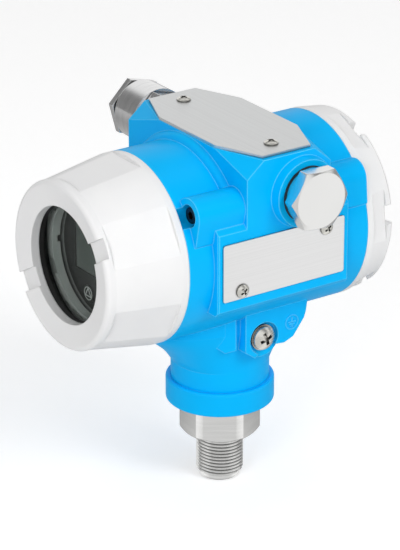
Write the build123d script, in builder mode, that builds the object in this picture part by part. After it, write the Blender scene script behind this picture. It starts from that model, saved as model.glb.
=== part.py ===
from build123d import *
from math import atan2, cos, degrees, radians, sin
import os

os.makedirs("parts", exist_ok=True)

# Pressure transmitter with a two-compartment head. Sizes are in millimetres. The origin is the
# centre of the shoulder above the process thread, on the axis of the stem. +Z runs up the stem,
# the barrel of the head lies along Y with its display end at -Y, and the conduits lie along X.

# Clearances
RUNNING_GAP = 0.05
THREAD_GAP = 0.1
LOOSE_GAP = 0.1

# Process connection and collar
PROCESS_THREAD_R = 10.0
PROCESS_THREAD_LENGTH = 16.4
PROCESS_THREAD_CHAMFER = 1.0
PROCESS_TIP_R = 8.5
PROCESS_TIP_LENGTH = 3.4
PROCESS_HEX_FLATS = 32.0
PROCESS_HEX_TURNED_R = 17.0
PROCESS_HEX_HEIGHT = 15.2
PROCESS_HEX_HEADING = -35.0
PROCESS_SPIGOT_R = 13.0
PROCESS_SPIGOT_HEIGHT = 5.0
PORT_R = 2.0
COLLAR_R = 22.84
COLLAR_HEIGHT = 10.4
COLLAR_ROUND = 1.0
COLLAR_LIP = 0.8
SPIGOT_R = 17.0
SPIGOT_HEIGHT = 15.4
SPIGOT_BORE_R = 10.0
SWIVEL_GROOVE_DEPTH = 1.5
SWIVEL_GROOVE_WIDTH = 5.6
SWIVEL_GROOVE_RISE = 3.0

# Sensor in the process connection
SENSOR_R = 9.4
SENSOR_HEIGHT = 8.0
SENSOR_SEAT_Z = 8.0
SENSOR_CHAMBER_R = 6.6
SENSOR_CHAMBER_DEPTH = 1.4
DIAPHRAGM_R = 6.4
DIAPHRAGM_THICKNESS = 0.5
SENSOR_SEAL_R = 8.0
SENSOR_SEAL_SECTION_R = 0.6
CLAMP_RING_HEIGHT = 2.4
CLAMP_RING_BORE_R = 6.0
SENSOR_BOARD_THICKNESS = 1.6
SENSOR_BOARD_LEDGE = 1.5

# Neck of the housing
NECK_R = 20.7
NECK_STRAIGHT = 8.4
NECK_FLARE = ((4.3, 21.0, 23.8), (9.0, 21.5, 27.9), (13.0, 22.0, 32.6), (19.0, 23.0, 38.3))
NECK_PASSAGE_R = 4.5
NECK_PASSAGE_Y = -12.5
NECK_SCREW_HEADING = 145.0
NECK_SCREW_R = 2.5
NECK_SCREW_LENGTH = 4.6
NECK_BOSS_HEADING = -35.0
NECK_BOSS_FACE = 25.0
NECK_BOSS_OUTLINE = ((-3.9, 63.0), (6.6, 63.0), (6.8, 46.8), (2.1, 45.4), (-3.9, 49.7))
NECK_SEAL_SECTION_R = 0.95

# Barrel of the housing
BARREL_RISE = 66.8
BARREL_R = 40.0
BARREL_WALL = 7.0
FRONT_RIM_Y = -42.4
REAR_RIM_Y = 46.0
BULKHEAD_FRONT_Y = -7.0
BULKHEAD_REAR_Y = -1.0
COVER_THREAD_WALL = 5.4
COVER_THREAD_LENGTH = 12.0
SEAL_SEAT_WALL = 4.8
SEAL_SEAT_DEPTH = 3.0

# Cross block on the barrel
BLOCK_SIDE_PROUD = 2.6
BLOCK_HALF_Y = 20.55
BLOCK_CENTRE_Y = 3.75
BLOCK_TOP_PROUD = 3.6
CORNER_CUT_X = 23.0
CORNER_CUT_Y = 8.2
CORNER_CUT_Z = 6.8
SADDLE_FLARE = 3.0
SADDLE_ARC = 140.0

# Conduit entries, on one axis through both end faces of the block
CONDUIT_Y = 10.0
CONDUIT_DROP = 16.9
CONDUIT_R = 10.0
CONDUIT_INNER_X = 12.0
CONDUIT_BOSS_R = 15.0
CONDUIT_BOSS_TIP_R = 14.3
CONDUIT_BOSS_LENGTH = 4.1

# Side pads and side plate
PAD_FRONT_Y = -30.6
PAD_REAR_Y = 34.0
PAD_BOTTOM_DROP = 19.2
PAD_TOP_RISE = 17.9
PAD_BEVEL = 2.0
PAD_END_BEVEL = 0.6
SIDE_PLATE_LENGTH = 59.7
SIDE_PLATE_HEIGHT = 24.5
SIDE_PLATE_CENTRE_Y = 1.35
SIDE_PLATE_DROP = 0.65
SIDE_PLATE_THICKNESS = 0.7
SIDE_PLATE_CORNER_R = 1.0
SIDE_SCREW_SPREAD = (20.7, 8.9)

# Top plate
TOP_PLATE_END_MARGIN = 2.0
TOP_PLATE_SIDE_MARGIN = 0.1
TOP_PLATE_CUT_X = 20.85
TOP_PLATE_CUT_Y = 8.8
TOP_PLATE_THICKNESS = 1.2
TOP_SCREW_INSET = 9.6
TOP_SCREW_Y = 3.0

# Plate screws
PLATE_SCREW_R = 1.5
PLATE_SCREW_LENGTH = 5.0
PLATE_SCREW_HEAD_R = 2.9
PLATE_SCREW_HEAD_HEIGHT = 1.6

# Cover lock bosses on the right of the barrel
LOCK_ANGLE = 35.2
LOCK_WEB_ANGLE = 18.5
LOCK_WEB_R = 1.2
FRONT_LOCK_Y = -39.0
FRONT_LOCK_PROUD = 1.6
FRONT_LOCK_BOSS_R = 7.5
FRONT_LOCK_RECESS_R = 4.7
REAR_LOCK_PROUD = 0.6
REAR_LOCK_BOSS_INSET = 2.8
REAR_LOCK_BOSS_R = 7.4
REAR_LOCK_RECESS_R = 3.6
LOCK_RECESS_DEPTH = 4.0
LOCK_SCREW_R = 2.0
LOCK_SCREW_LENGTH = 8.0
LOCK_SCREW_HEAD_R = 3.4
LOCK_SCREW_HEAD_HEIGHT = 3.0
LOCK_SCREW_SOCKET_FLATS = 3.0

# External earth terminal
EARTH_PAD_X = 26.5
EARTH_SEAT_X = 24.5
EARTH_PAD_FRONT_Y = -5.6
EARTH_Y = 3.75
EARTH_Z = 50.1
EARTH_SEAT_R = 9.0
EARTH_RECESS_R = 7.0
EARTH_PAD_TOP_Z = 66.0
EARTH_PAD_REAR = ((26.2, 66.0), (24.9, 57.4), (24.0, 54.6), (18.5, 47.4), (13.9, 45.6))
EARTH_SCREW_R = 2.5
EARTH_SCREW_LENGTH = 9.0
EARTH_HEAD_R = 5.0
EARTH_HEAD_HEIGHT = 3.0
EARTH_WASHER_R = 5.6
EARTH_WASHER_THICKNESS = 1.0

# Front cover with its window
COVER_GAP = 0.1
COVER_FLANGE = 3.2
COVER_SKIRT = 10.0
COVER_SKIRT_WALL = 3.0
COVER_GROOVE_WIDTH = 2.6
COVER_GROOVE_DEPTH = 1.45
COVER_SEAL_SECTION_R = 1.05
FACET_COUNT = 6
FACET_HALF_ANGLE = 15.0
NOTCH_WIDTH = 8.4
FRONT_COVER_LENGTH = 35.6
FRONT_FACET_PHASE = 30.0
BEZEL_INSET = 4.7
BEZEL_DEPTH = 4.0
BEZEL_ROUND = 2.0
BEZEL_DISH = 1.6
FRONT_NOTCH_DEPTH = 2.6
LIP_LENGTH = 3.9
GASKET_THICKNESS = 2.4
GLASS_THICKNESS = 4.4
GLASS_INSET = 2.1
GLASS_COVER = 4.9
GASKET_WALL = 0.7
RETAINING_RING_LENGTH = 3.8
RETAINING_RING_COVER = 4.0
RETAINING_RING_SLOT = 3.0
RETAINING_RING_THREAD = 0.5

# Rear cover
REAR_COVER_LENGTH = 14.5
REAR_COVER_TAPER = 1.3
REAR_COVER_ROUND = 1.5
REAR_RIM_WIDTH = 9.7
REAR_NOTCH_DEPTH = 3.8
REAR_NOTCH_WIDTH = 8.2
REAR_FACET_PHASE = 6.0
REAR_COVER_WALL = 4.5

# Display
DISPLAY_GAP = 1.1
DISPLAY_FACE_Y = -60.0
DISPLAY_PLATE = 2.0
DISPLAY_WALL = 2.0
FASCIA_INSET = 5.0
FASCIA_THICKNESS = 0.6
SCREEN_WIDTH = 34.0
SCREEN_BOTTOM_DROP = 10.0
SCREEN_TOP_RISE = 13.4
SCREEN_THICKNESS = 2.4
SCREEN_BORDER = 1.5
KEY_X = 6.9
KEY_DROP = 18.4
KEY_R = 3.6
KEY_FLANGE_R = 4.5
KEY_FLANGE = 1.0
KEY_PROUD = 0.4
KEY_TRAVEL = 0.5
DISPLAY_BOARD_INSET = 3.4
DISPLAY_BOARD_DEPTH = 6.0
DISPLAY_BOARD_THICKNESS = 1.6
DISPLAY_LEDGE = 2.0

# Electronics module on the bulkhead
MODULE_GAP = 3.0
MODULE_FRONT_Y = -36.0
MODULE_REAR_Y = -12.0
MODULE_FOOT_R = 4.0
MODULE_SCREW_INSET = 7.0
MODULE_SCREW_R = 1.5
MODULE_SCREW_HEAD_R = 2.8
MODULE_SCREW_HEAD_HEIGHT = 2.0
MODULE_SCREW_BITE = 4.0
MODULE_SHOULDER = 3.0
FEEDTHROUGH_R = 7.0
FEEDTHROUGH_FLANGE_R = 9.0
FEEDTHROUGH_FLANGE = 1.5
FEEDTHROUGH_PROUD = 1.5

# Terminal compartment
TERMINAL_HALF_WIDTH = 22.0
TERMINAL_DROP = 13.4
TERMINAL_RISE = 12.6
TERMINAL_DEPTH = 14.0
TERMINAL_STEP = 6.0
TERMINAL_COUNT = 3
TERMINAL_PITCH = 12.0
TERMINAL_SLOT = 9.0
CLAMP_SIZE = 7.6
CLAMP_THICKNESS = 1.5
TERMINAL_SCREW_R = 1.6
TERMINAL_SCREW_HEAD_R = 3.2
TERMINAL_SCREW_HEAD_HEIGHT = 2.2
BLOCK_SCREW_X = 18.4
BLOCK_SCREW_RISE = 8.8
INNER_EARTH_DROP = 22.5
INNER_EARTH_HEAD_R = 4.2

# Conduit plug
PLUG_SHANK_LENGTH = 12.0
PLUG_SEAL_THICKNESS = 1.2
PLUG_SEAL_R = 11.8
PLUG_SHOULDER_R = 11.6
PLUG_SHOULDER = 2.2
PLUG_HEX_FLATS = 24.0
PLUG_HEX_HEIGHT = 5.8
PLUG_CROWN = 1.2
PLUG_HEX_TURN = -2.0
PLUG_TURNED_R = 13.75

# Cable gland
GLAND_SHOULDER = 1.2
GLAND_BODY_FLATS = 22.6
GLAND_BODY_HEX = 10.6
GLAND_THREAD_R = 10.4
GLAND_THREAD_LENGTH = 13.3
GLAND_BORE_R = 6.5
GLAND_POCKET_R = 8.6
GLAND_POCKET_DEPTH = 11.0
GLAND_NUT_R = 13.0
GLAND_NUT_LENGTH = 19.0
GLAND_NUT_HEX = 3.0
GLAND_NUT_FLATS = 23.6
GLAND_NUT_TURN = -13.5
GLAND_NUT_END_WALL = 4.8
GLAND_NUT_HOLE_R = 6.0
GLAND_NUT_BEVEL = 1.5
GLAND_WASHER_THICKNESS = 1.0
GLAND_WASHER_BORE_R = 4.6
CABLE_BORE_R = 4.0

# Heights and places worked out from the sizes above
COLLAR_TOP_Z = PROCESS_HEX_HEIGHT + COLLAR_HEIGHT
NECK_BOTTOM_Z = COLLAR_TOP_Z - COLLAR_LIP + RUNNING_GAP
NECK_TOP_Z = COLLAR_TOP_Z + NECK_STRAIGHT
SPIGOT_TOP_Z = COLLAR_TOP_Z + SPIGOT_HEIGHT
BARREL_Z = COLLAR_TOP_Z + BARREL_RISE
COMPARTMENT_R = BARREL_R - BARREL_WALL
COVER_THREAD_R = BARREL_R - COVER_THREAD_WALL
SEAL_SEAT_R = BARREL_R - SEAL_SEAT_WALL
BLOCK_HALF_X = BARREL_R + BLOCK_SIDE_PROUD
BLOCK_TOP_Z = BARREL_Z + BARREL_R + BLOCK_TOP_PROUD
CONDUIT_Z = BLOCK_TOP_Z - CONDUIT_DROP
CONDUIT_FACE_X = BLOCK_HALF_X + CONDUIT_BOSS_LENGTH
SKIRT_R = COVER_THREAD_R - THREAD_GAP
SKIRT_BORE_R = SKIRT_R - COVER_SKIRT_WALL
SKIRT_GROOVE_R = SKIRT_R - COVER_GROOVE_DEPTH
BEZEL_R = BARREL_R - BEZEL_INSET
GLASS_R = SKIRT_BORE_R - GLASS_INSET
OPENING_R = GLASS_R - GLASS_COVER
RETAINING_RING_BORE_R = GLASS_R - RETAINING_RING_COVER
REAR_COVER_END_R = BARREL_R - REAR_COVER_TAPER
REAR_RIM_INNER_R = REAR_COVER_END_R - REAR_RIM_WIDTH
DISPLAY_R = SKIRT_BORE_R - DISPLAY_GAP
FASCIA_R = DISPLAY_R - FASCIA_INSET
DISPLAY_BOARD_R = DISPLAY_R - DISPLAY_BOARD_INSET
MODULE_R = COMPARTMENT_R - MODULE_GAP
MODULE_SCREW_CIRCLE_R = MODULE_R - MODULE_SCREW_INSET
TOP_PLATE_HALF_X = BLOCK_HALF_X - TOP_PLATE_END_MARGIN
TOP_PLATE_HALF_Y = BLOCK_HALF_Y - TOP_PLATE_SIDE_MARGIN
TOP_SCREW_X = TOP_PLATE_HALF_X - TOP_SCREW_INSET

FRONT_FLANGE_Y = FRONT_RIM_Y - COVER_GAP
FRONT_CRESCENT_Y = FRONT_FLANGE_Y - COVER_FLANGE
RIDGE_Y = FRONT_RIM_Y - FRONT_COVER_LENGTH
BEZEL_Y = RIDGE_Y + BEZEL_DEPTH
OPENING_Y = RIDGE_Y + BEZEL_DISH
LIP_Y = OPENING_Y + LIP_LENGTH
GLASS_FRONT_Y = LIP_Y + GASKET_THICKNESS
GLASS_BACK_Y = GLASS_FRONT_Y + GLASS_THICKNESS
RING_BACK_Y = GLASS_BACK_Y + RETAINING_RING_LENGTH
POCKET_R = GLASS_R + LOOSE_GAP + GASKET_WALL
RING_THREAD_R = POCKET_R + RETAINING_RING_THREAD

REAR_FLANGE_Y = REAR_RIM_Y + COVER_GAP
REAR_CRESCENT_Y = REAR_FLANGE_Y + COVER_FLANGE
REAR_END_Y = REAR_RIM_Y + REAR_COVER_LENGTH
REAR_FLOOR_Y = REAR_END_Y - REAR_NOTCH_DEPTH

BARREL_CENTRE = (0, 0, BARREL_Z)
BARREL_AXIS = Axis(BARREL_CENTRE, (0, 1, 0))


def front_plane(y, rise=0.0):
    """Plane across the barrel that faces the display end, centred on the barrel axis."""
    return Plane(origin=(0, y, BARREL_Z + rise), x_dir=(1, 0, 0), z_dir=(0, -1, 0))


def rear_plane(y, rise=0.0):
    """Plane across the barrel that faces the rear cover, centred on the barrel axis."""
    return Plane(origin=(0, y, BARREL_Z + rise), x_dir=(-1, 0, 0), z_dir=(0, 1, 0))


def right_plane(x, y=0.0, z=0.0):
    """Upright plane that faces +X, with Y across and Z up."""
    return Plane(origin=(x, y, z), x_dir=(0, 1, 0), z_dir=(1, 0, 0))


def left_plane(x, y=0.0, z=0.0):
    """Upright plane that faces -X, with Z up."""
    return Plane(origin=(x, y, z), x_dir=(0, -1, 0), z_dir=(-1, 0, 0))


def heading_plane(heading, distance, z=0.0):
    """Upright plane at a distance from the stem axis, facing away from it."""
    away = Vector(cos(radians(heading)), sin(radians(heading)), 0)
    origin = away * distance + Vector(0, 0, z)
    return Plane(origin=origin, x_dir=(-away.Y, away.X, 0), z_dir=away)


def radial_plane(angle):
    """Half section of the barrel: x along the barrel, y outwards at an angle above +X."""
    return Plane(
        origin=BARREL_CENTRE,
        x_dir=(0, 1, 0),
        z_dir=(sin(radians(angle)), 0, -cos(radians(angle))),
    )


def half_section(seat):
    """Plane through the axis of a seat plane: x away from the axis, y along it."""
    return Plane(origin=seat.origin, x_dir=seat.x_dir, z_dir=seat.x_dir.cross(seat.z_dir))


def outline(plane, *points):
    """Straight-sided face drawn on a plane."""
    with BuildSketch(plane) as face:
        with BuildLine():
            Polyline(*points, close=True)
        make_face()
    return face.sketch


def disc(plane, radius, at=(0, 0)):
    """Round face on a plane."""
    with BuildSketch(plane) as face:
        with Locations(at):
            Circle(radius)
    return face.sketch


def ring(plane, outer, inner, at=(0, 0)):
    """Flat ring on a plane."""
    with BuildSketch(plane) as face:
        with Locations(at):
            Circle(outer)
            Circle(inner, mode=Mode.SUBTRACT)
    return face.sketch


def hexagon(plane, flats, turn=0.0, at=(0, 0)):
    """Hexagon on a plane, given across its flats, with a corner at the angle turn."""
    with BuildSketch(plane) as face:
        with Locations(at):
            RegularPolygon(flats / 2, 6, major_radius=False, rotation=turn)
    return face.sketch


def seal_section(plane, along, radius, section_r):
    """Round section of an O-ring on a half section."""
    return disc(plane, section_r, at=(along, radius))


def head_section(seat, head_r, head_height, shank_r, shank_length):
    """Half section of a pan-head screw standing on a seat plane."""
    rim = head_height * 0.4
    with BuildSketch(half_section(seat)) as face:
        with BuildLine():
            TangentArc((0, head_height), (head_r, rim), tangent=(1, 0))
            Polyline((head_r, rim), (head_r, 0), (shank_r, 0), (shank_r, -shank_length), (0, -shank_length))
            Line((0, -shank_length), (0, head_height))
        make_face()
    return face.sketch


def cross_recess(seat, head_r, head_height, turn=0.0):
    """Cross-shaped face at the top of a screw head."""
    arm = head_r * 1.15
    slot = head_r * 0.3
    with BuildSketch(seat.offset(head_height)) as face:
        Rectangle(arm, slot, rotation=turn)
        Rectangle(arm, slot, rotation=turn + 90)
    return face.sketch


def pan_screw(seat, head_r, head_height, shank_r, shank_length, turn=0.0):
    """Add a pan-head screw with a cross recess to the part being built."""
    section = head_section(seat, head_r, head_height, shank_r, shank_length)
    revolve(section, axis=Axis(seat.origin, seat.z_dir))
    extrude(
        cross_recess(seat, head_r, head_height, turn),
        amount=-head_height * 0.5,
        mode=Mode.SUBTRACT,
    )


def facet_cut(angle, near, near_r, far, far_r):
    """Section of what is milled off a cover's cone to leave one flat facet."""
    clear = BARREL_R * 1.5
    return outline(radial_plane(angle), (near, near_r), (near, clear), (far, clear), (far, far_r))


# Housing



def around_barrel(radius, angle, side=1):
    """Point on a plane across the barrel, at an angle above the horizontal."""
    return (side * radius * cos(radians(angle)), radius * sin(radians(angle)))


def lock_boss(plane, centre, radius, web_foot):
    """Section of a cover lock boss: a round top and a web that narrows down the barrel."""
    with BuildSketch(plane) as face:
        with Locations(centre):
            Circle(radius)
        with Locations(web_foot):
            Circle(LOCK_WEB_R)
        make_hull(face.edges())
    return face.sketch


lock_hole_front = around_barrel(BARREL_R + FRONT_LOCK_PROUD, LOCK_ANGLE)
lock_hole_rear = around_barrel(BARREL_R + REAR_LOCK_PROUD, LOCK_ANGLE, side=-1)
lock_boss_rear = around_barrel(BARREL_R + REAR_LOCK_PROUD - REAR_LOCK_BOSS_INSET, LOCK_ANGLE, side=-1)
block_front_y = BLOCK_CENTRE_Y - BLOCK_HALF_Y
block_rear_y = BLOCK_CENTRE_Y + BLOCK_HALF_Y

with BuildPart() as cross_block:
    with BuildSketch(Plane.XY.offset(BARREL_Z)):
        with Locations((0, BLOCK_CENTRE_Y)):
            Rectangle(2 * BLOCK_HALF_X, 2 * BLOCK_HALF_Y)
    extrude(amount=BLOCK_TOP_Z - BARREL_Z)
    for side_x in (1, -1):
        for side_y in (1, -1):
            corner = Vector(side_x * BLOCK_HALF_X, BLOCK_CENTRE_Y + side_y * BLOCK_HALF_Y, BLOCK_TOP_Z)
            along_x = Vector(-side_x * CORNER_CUT_X, 0, 0)
            along_y = Vector(0, -side_y * CORNER_CUT_Y, 0)
            down = Vector(0, 0, -CORNER_CUT_Z)
            normal = (along_x - down).cross(along_y - down)
            if normal.Z < 0:
                normal = -normal
            split(bisect_by=Plane(origin=corner + down, x_dir=along_x - down, z_dir=normal), keep=Keep.BOTTOM)

with BuildPart() as side_pads:
    with BuildSketch(front_plane(PAD_FRONT_Y)):
        with Locations((0, (PAD_TOP_RISE - PAD_BOTTOM_DROP) / 2)):
            Rectangle(2 * BLOCK_HALF_X, PAD_TOP_RISE + PAD_BOTTOM_DROP)
        chamfer(vertices(), length=PAD_BEVEL)
    extrude(amount=-(PAD_REAR_Y - PAD_FRONT_Y))
    chamfer(edges().filter_by(Axis.Z), length=PAD_END_BEVEL)

with BuildPart() as neck_flare:
    with BuildSketch(Plane.XY.offset(NECK_TOP_Z)):
        Circle(NECK_R)
    for rise, half_x, half_y in NECK_FLARE:
        with BuildSketch(Plane.XY.offset(NECK_TOP_Z + rise)):
            Ellipse(half_x, half_y)
    loft()
    with BuildSketch(Plane.XY.offset(NECK_TOP_Z + NECK_FLARE[-1][0])):
        Ellipse(NECK_FLARE[-1][1], NECK_FLARE[-1][2])
    extrude(amount=BARREL_Z - COMPARTMENT_R / 2 - NECK_TOP_Z - NECK_FLARE[-1][0])

with BuildPart() as housing:
    # Barrel
    extrude(disc(front_plane(FRONT_RIM_Y), BARREL_R), amount=-(REAR_RIM_Y - FRONT_RIM_Y))
    add(cross_block.part)
    add(side_pads.part)

    # Flared saddle where the barrel meets the front of the block
    with BuildSketch(radial_plane(90 - SADDLE_ARC / 2)) as saddle:
        with BuildLine():
            flare = Line((block_front_y, BARREL_R - 1), (block_front_y, BARREL_R + SADDLE_FLARE))
            RadiusArc(flare @ 1, (block_front_y - SADDLE_FLARE, BARREL_R), -SADDLE_FLARE)
            Polyline(
                (block_front_y - SADDLE_FLARE, BARREL_R),
                (block_front_y - SADDLE_FLARE, BARREL_R - 1),
                flare @ 0,
            )
        make_face()
    revolve(saddle.sketch, axis=Axis(BARREL_CENTRE, (0, -1, 0)), revolution_arc=SADDLE_ARC)

    # Conduit bosses
    boss_taper = degrees(atan2(CONDUIT_BOSS_R - CONDUIT_BOSS_TIP_R, CONDUIT_BOSS_LENGTH))
    for boss_plane in (
        right_plane(BLOCK_HALF_X, CONDUIT_Y, CONDUIT_Z),
        left_plane(-BLOCK_HALF_X, CONDUIT_Y, CONDUIT_Z),
    ):
        extrude(disc(boss_plane, CONDUIT_BOSS_R), amount=CONDUIT_BOSS_LENGTH, taper=boss_taper)

    # Cover lock bosses
    web_foot_front = around_barrel(BARREL_R, LOCK_WEB_ANGLE)
    web_foot_rear = around_barrel(BARREL_R, LOCK_WEB_ANGLE, side=-1)
    extrude(
        lock_boss(front_plane(FRONT_LOCK_Y), lock_hole_front, FRONT_LOCK_BOSS_R, web_foot_front),
        amount=-(block_front_y - FRONT_LOCK_Y),
    )
    extrude(
        lock_boss(rear_plane(REAR_RIM_Y), lock_boss_rear, REAR_LOCK_BOSS_R, web_foot_rear),
        amount=-(REAR_RIM_Y - block_rear_y),
    )

    # Neck: a round stem, then a flare that widens along the barrel more than across it
    extrude(disc(Plane.XY.offset(NECK_BOTTOM_Z), NECK_R), amount=NECK_TOP_Z - NECK_BOTTOM_Z)
    add(neck_flare.part)

    # Five-sided boss on the neck
    extrude(outline(heading_plane(NECK_BOSS_HEADING, NECK_BOSS_FACE), *NECK_BOSS_OUTLINE), amount=-NECK_R / 2)

    # Earth pad, its screw seat and its round recess
    extrude(disc(right_plane(EARTH_SEAT_X, EARTH_Y, EARTH_Z), EARTH_SEAT_R), amount=-NECK_R / 2)
    extrude(
        outline(
            right_plane(EARTH_PAD_X),
            (EARTH_PAD_FRONT_Y, EARTH_PAD_TOP_Z),
            (EARTH_PAD_FRONT_Y, EARTH_Z - EARTH_SEAT_R / 2),
            (EARTH_Y - EARTH_SEAT_R / 2, EARTH_Z - EARTH_SEAT_R * 0.9),
            (EARTH_Y, EARTH_Z - EARTH_RECESS_R / 2),
            *reversed(EARTH_PAD_REAR),
        ),
        amount=-NECK_R / 2,
    )
    extrude(
        disc(right_plane(EARTH_PAD_X, EARTH_Y, EARTH_Z), EARTH_RECESS_R),
        amount=-(EARTH_PAD_X - EARTH_SEAT_X),
        mode=Mode.SUBTRACT,
    )
    extrude(
        disc(right_plane(EARTH_SEAT_X, EARTH_Y, EARTH_Z), EARTH_SCREW_R),
        amount=-EARTH_SCREW_LENGTH - 1,
        mode=Mode.SUBTRACT,
    )

    # Compartments, with the cover threads and the seats of the cover seals
    revolve(
        outline(
            radial_plane(90),
            (FRONT_RIM_Y, 0),
            (FRONT_RIM_Y, SEAL_SEAT_R),
            (FRONT_RIM_Y + SEAL_SEAT_DEPTH, SEAL_SEAT_R),
            (FRONT_RIM_Y + SEAL_SEAT_DEPTH, COVER_THREAD_R),
            (FRONT_RIM_Y + COVER_THREAD_LENGTH, COVER_THREAD_R),
            (FRONT_RIM_Y + COVER_THREAD_LENGTH, COMPARTMENT_R),
            (BULKHEAD_FRONT_Y, COMPARTMENT_R),
            (BULKHEAD_FRONT_Y, 0),
        ),
        axis=BARREL_AXIS,
        mode=Mode.SUBTRACT,
    )
    revolve(
        outline(
            radial_plane(90),
            (REAR_RIM_Y, 0),
            (REAR_RIM_Y, SEAL_SEAT_R),
            (REAR_RIM_Y - SEAL_SEAT_DEPTH, SEAL_SEAT_R),
            (REAR_RIM_Y - SEAL_SEAT_DEPTH, COVER_THREAD_R),
            (REAR_RIM_Y - COVER_THREAD_LENGTH, COVER_THREAD_R),
            (REAR_RIM_Y - COVER_THREAD_LENGTH, COMPARTMENT_R),
            (BULKHEAD_REAR_Y, COMPARTMENT_R),
            (BULKHEAD_REAR_Y, 0),
        ),
        axis=BARREL_AXIS,
        mode=Mode.SUBTRACT,
    )

    # Conduit bores into the terminal compartment
    for bore_plane in (
        right_plane(CONDUIT_FACE_X, CONDUIT_Y, CONDUIT_Z),
        left_plane(-CONDUIT_FACE_X, CONDUIT_Y, CONDUIT_Z),
    ):
        extrude(disc(bore_plane, CONDUIT_R), amount=-(CONDUIT_FACE_X - CONDUIT_INNER_X), mode=Mode.SUBTRACT)

    # Neck bore for the swivel spigot and the wire passage above it
    neck_bore_top = SPIGOT_TOP_Z + LOOSE_GAP
    extrude(
        disc(Plane.XY.offset(NECK_BOTTOM_Z), SPIGOT_R + RUNNING_GAP),
        amount=neck_bore_top - NECK_BOTTOM_Z,
        mode=Mode.SUBTRACT,
    )
    extrude(
        disc(Plane.XY.offset(neck_bore_top), NECK_PASSAGE_R, at=(0, NECK_PASSAGE_Y)),
        amount=BARREL_Z - COMPARTMENT_R / 2 - neck_bore_top,
        mode=Mode.SUBTRACT,
    )
    neck_screw_z = COLLAR_TOP_Z + SWIVEL_GROOVE_RISE + SWIVEL_GROOVE_WIDTH / 2
    neck_screw_plane = heading_plane(NECK_SCREW_HEADING, SPIGOT_R - SWIVEL_GROOVE_DEPTH, neck_screw_z)
    extrude(disc(neck_screw_plane, NECK_SCREW_R + RUNNING_GAP), amount=NECK_R, mode=Mode.SUBTRACT)

    # Lock screw recesses, which run out through the rim, and their threaded holes
    lock_floor_front = FRONT_LOCK_Y + LOCK_RECESS_DEPTH
    lock_floor_rear = REAR_RIM_Y - LOCK_RECESS_DEPTH
    extrude(
        disc(front_plane(lock_floor_front), FRONT_LOCK_RECESS_R, at=lock_hole_front),
        amount=lock_floor_front - FRONT_RIM_Y,
        mode=Mode.SUBTRACT,
    )
    extrude(
        disc(rear_plane(lock_floor_rear), REAR_LOCK_RECESS_R, at=lock_hole_rear),
        amount=LOCK_RECESS_DEPTH,
        mode=Mode.SUBTRACT,
    )
    for hole_plane, hole in (
        (front_plane(lock_floor_front), lock_hole_front),
        (rear_plane(lock_floor_rear), lock_hole_rear),
    ):
        extrude(
            disc(hole_plane, LOCK_SCREW_R + RUNNING_GAP, at=hole),
            amount=-LOCK_SCREW_LENGTH - 1,
            mode=Mode.SUBTRACT,
        )

    # Holes of the plate screws
    for screw_x in (-TOP_SCREW_X, TOP_SCREW_X):
        extrude(
            disc(Plane.XY.offset(BLOCK_TOP_Z), PLATE_SCREW_R + RUNNING_GAP, at=(screw_x, TOP_SCREW_Y)),
            amount=-PLATE_SCREW_LENGTH,
            mode=Mode.SUBTRACT,
        )
    side_plate_plane = right_plane(BLOCK_HALF_X, SIDE_PLATE_CENTRE_Y, BARREL_Z - SIDE_PLATE_DROP)
    for sign in (-1, 1):
        extrude(
            disc(
                side_plate_plane,
                PLATE_SCREW_R + RUNNING_GAP,
                at=(sign * SIDE_SCREW_SPREAD[0], sign * SIDE_SCREW_SPREAD[1]),
            ),
            amount=-PLATE_SCREW_LENGTH,
            mode=Mode.SUBTRACT,
        )

    # Bulkhead holes: feedthrough, module screws, terminal block screws, inner earth screw
    extrude(
        disc(front_plane(BULKHEAD_REAR_Y), FEEDTHROUGH_R + RUNNING_GAP),
        amount=BULKHEAD_REAR_Y - BULKHEAD_FRONT_Y,
        mode=Mode.SUBTRACT,
    )
    with BuildSketch(front_plane(BULKHEAD_FRONT_Y)) as module_holes:
        with PolarLocations(MODULE_SCREW_CIRCLE_R, 3, start_angle=90):
            Circle(MODULE_SCREW_R + RUNNING_GAP)
    extrude(module_holes.sketch, amount=-MODULE_SCREW_BITE, mode=Mode.SUBTRACT)
    with BuildSketch(rear_plane(BULKHEAD_REAR_Y)) as terminal_holes:
        with Locations(
            (BLOCK_SCREW_X, BLOCK_SCREW_RISE),
            (-BLOCK_SCREW_X, BLOCK_SCREW_RISE),
            (0, -INNER_EARTH_DROP),
        ):
            Circle(TERMINAL_SCREW_R + RUNNING_GAP)
    extrude(terminal_holes.sketch, amount=-MODULE_SCREW_BITE, mode=Mode.SUBTRACT)

housing.part.label = "housing"
export_step(housing.part, "parts/housing.step")

# Process connection: hexagon, thread, plain tip and the pocket of the sensor

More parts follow.
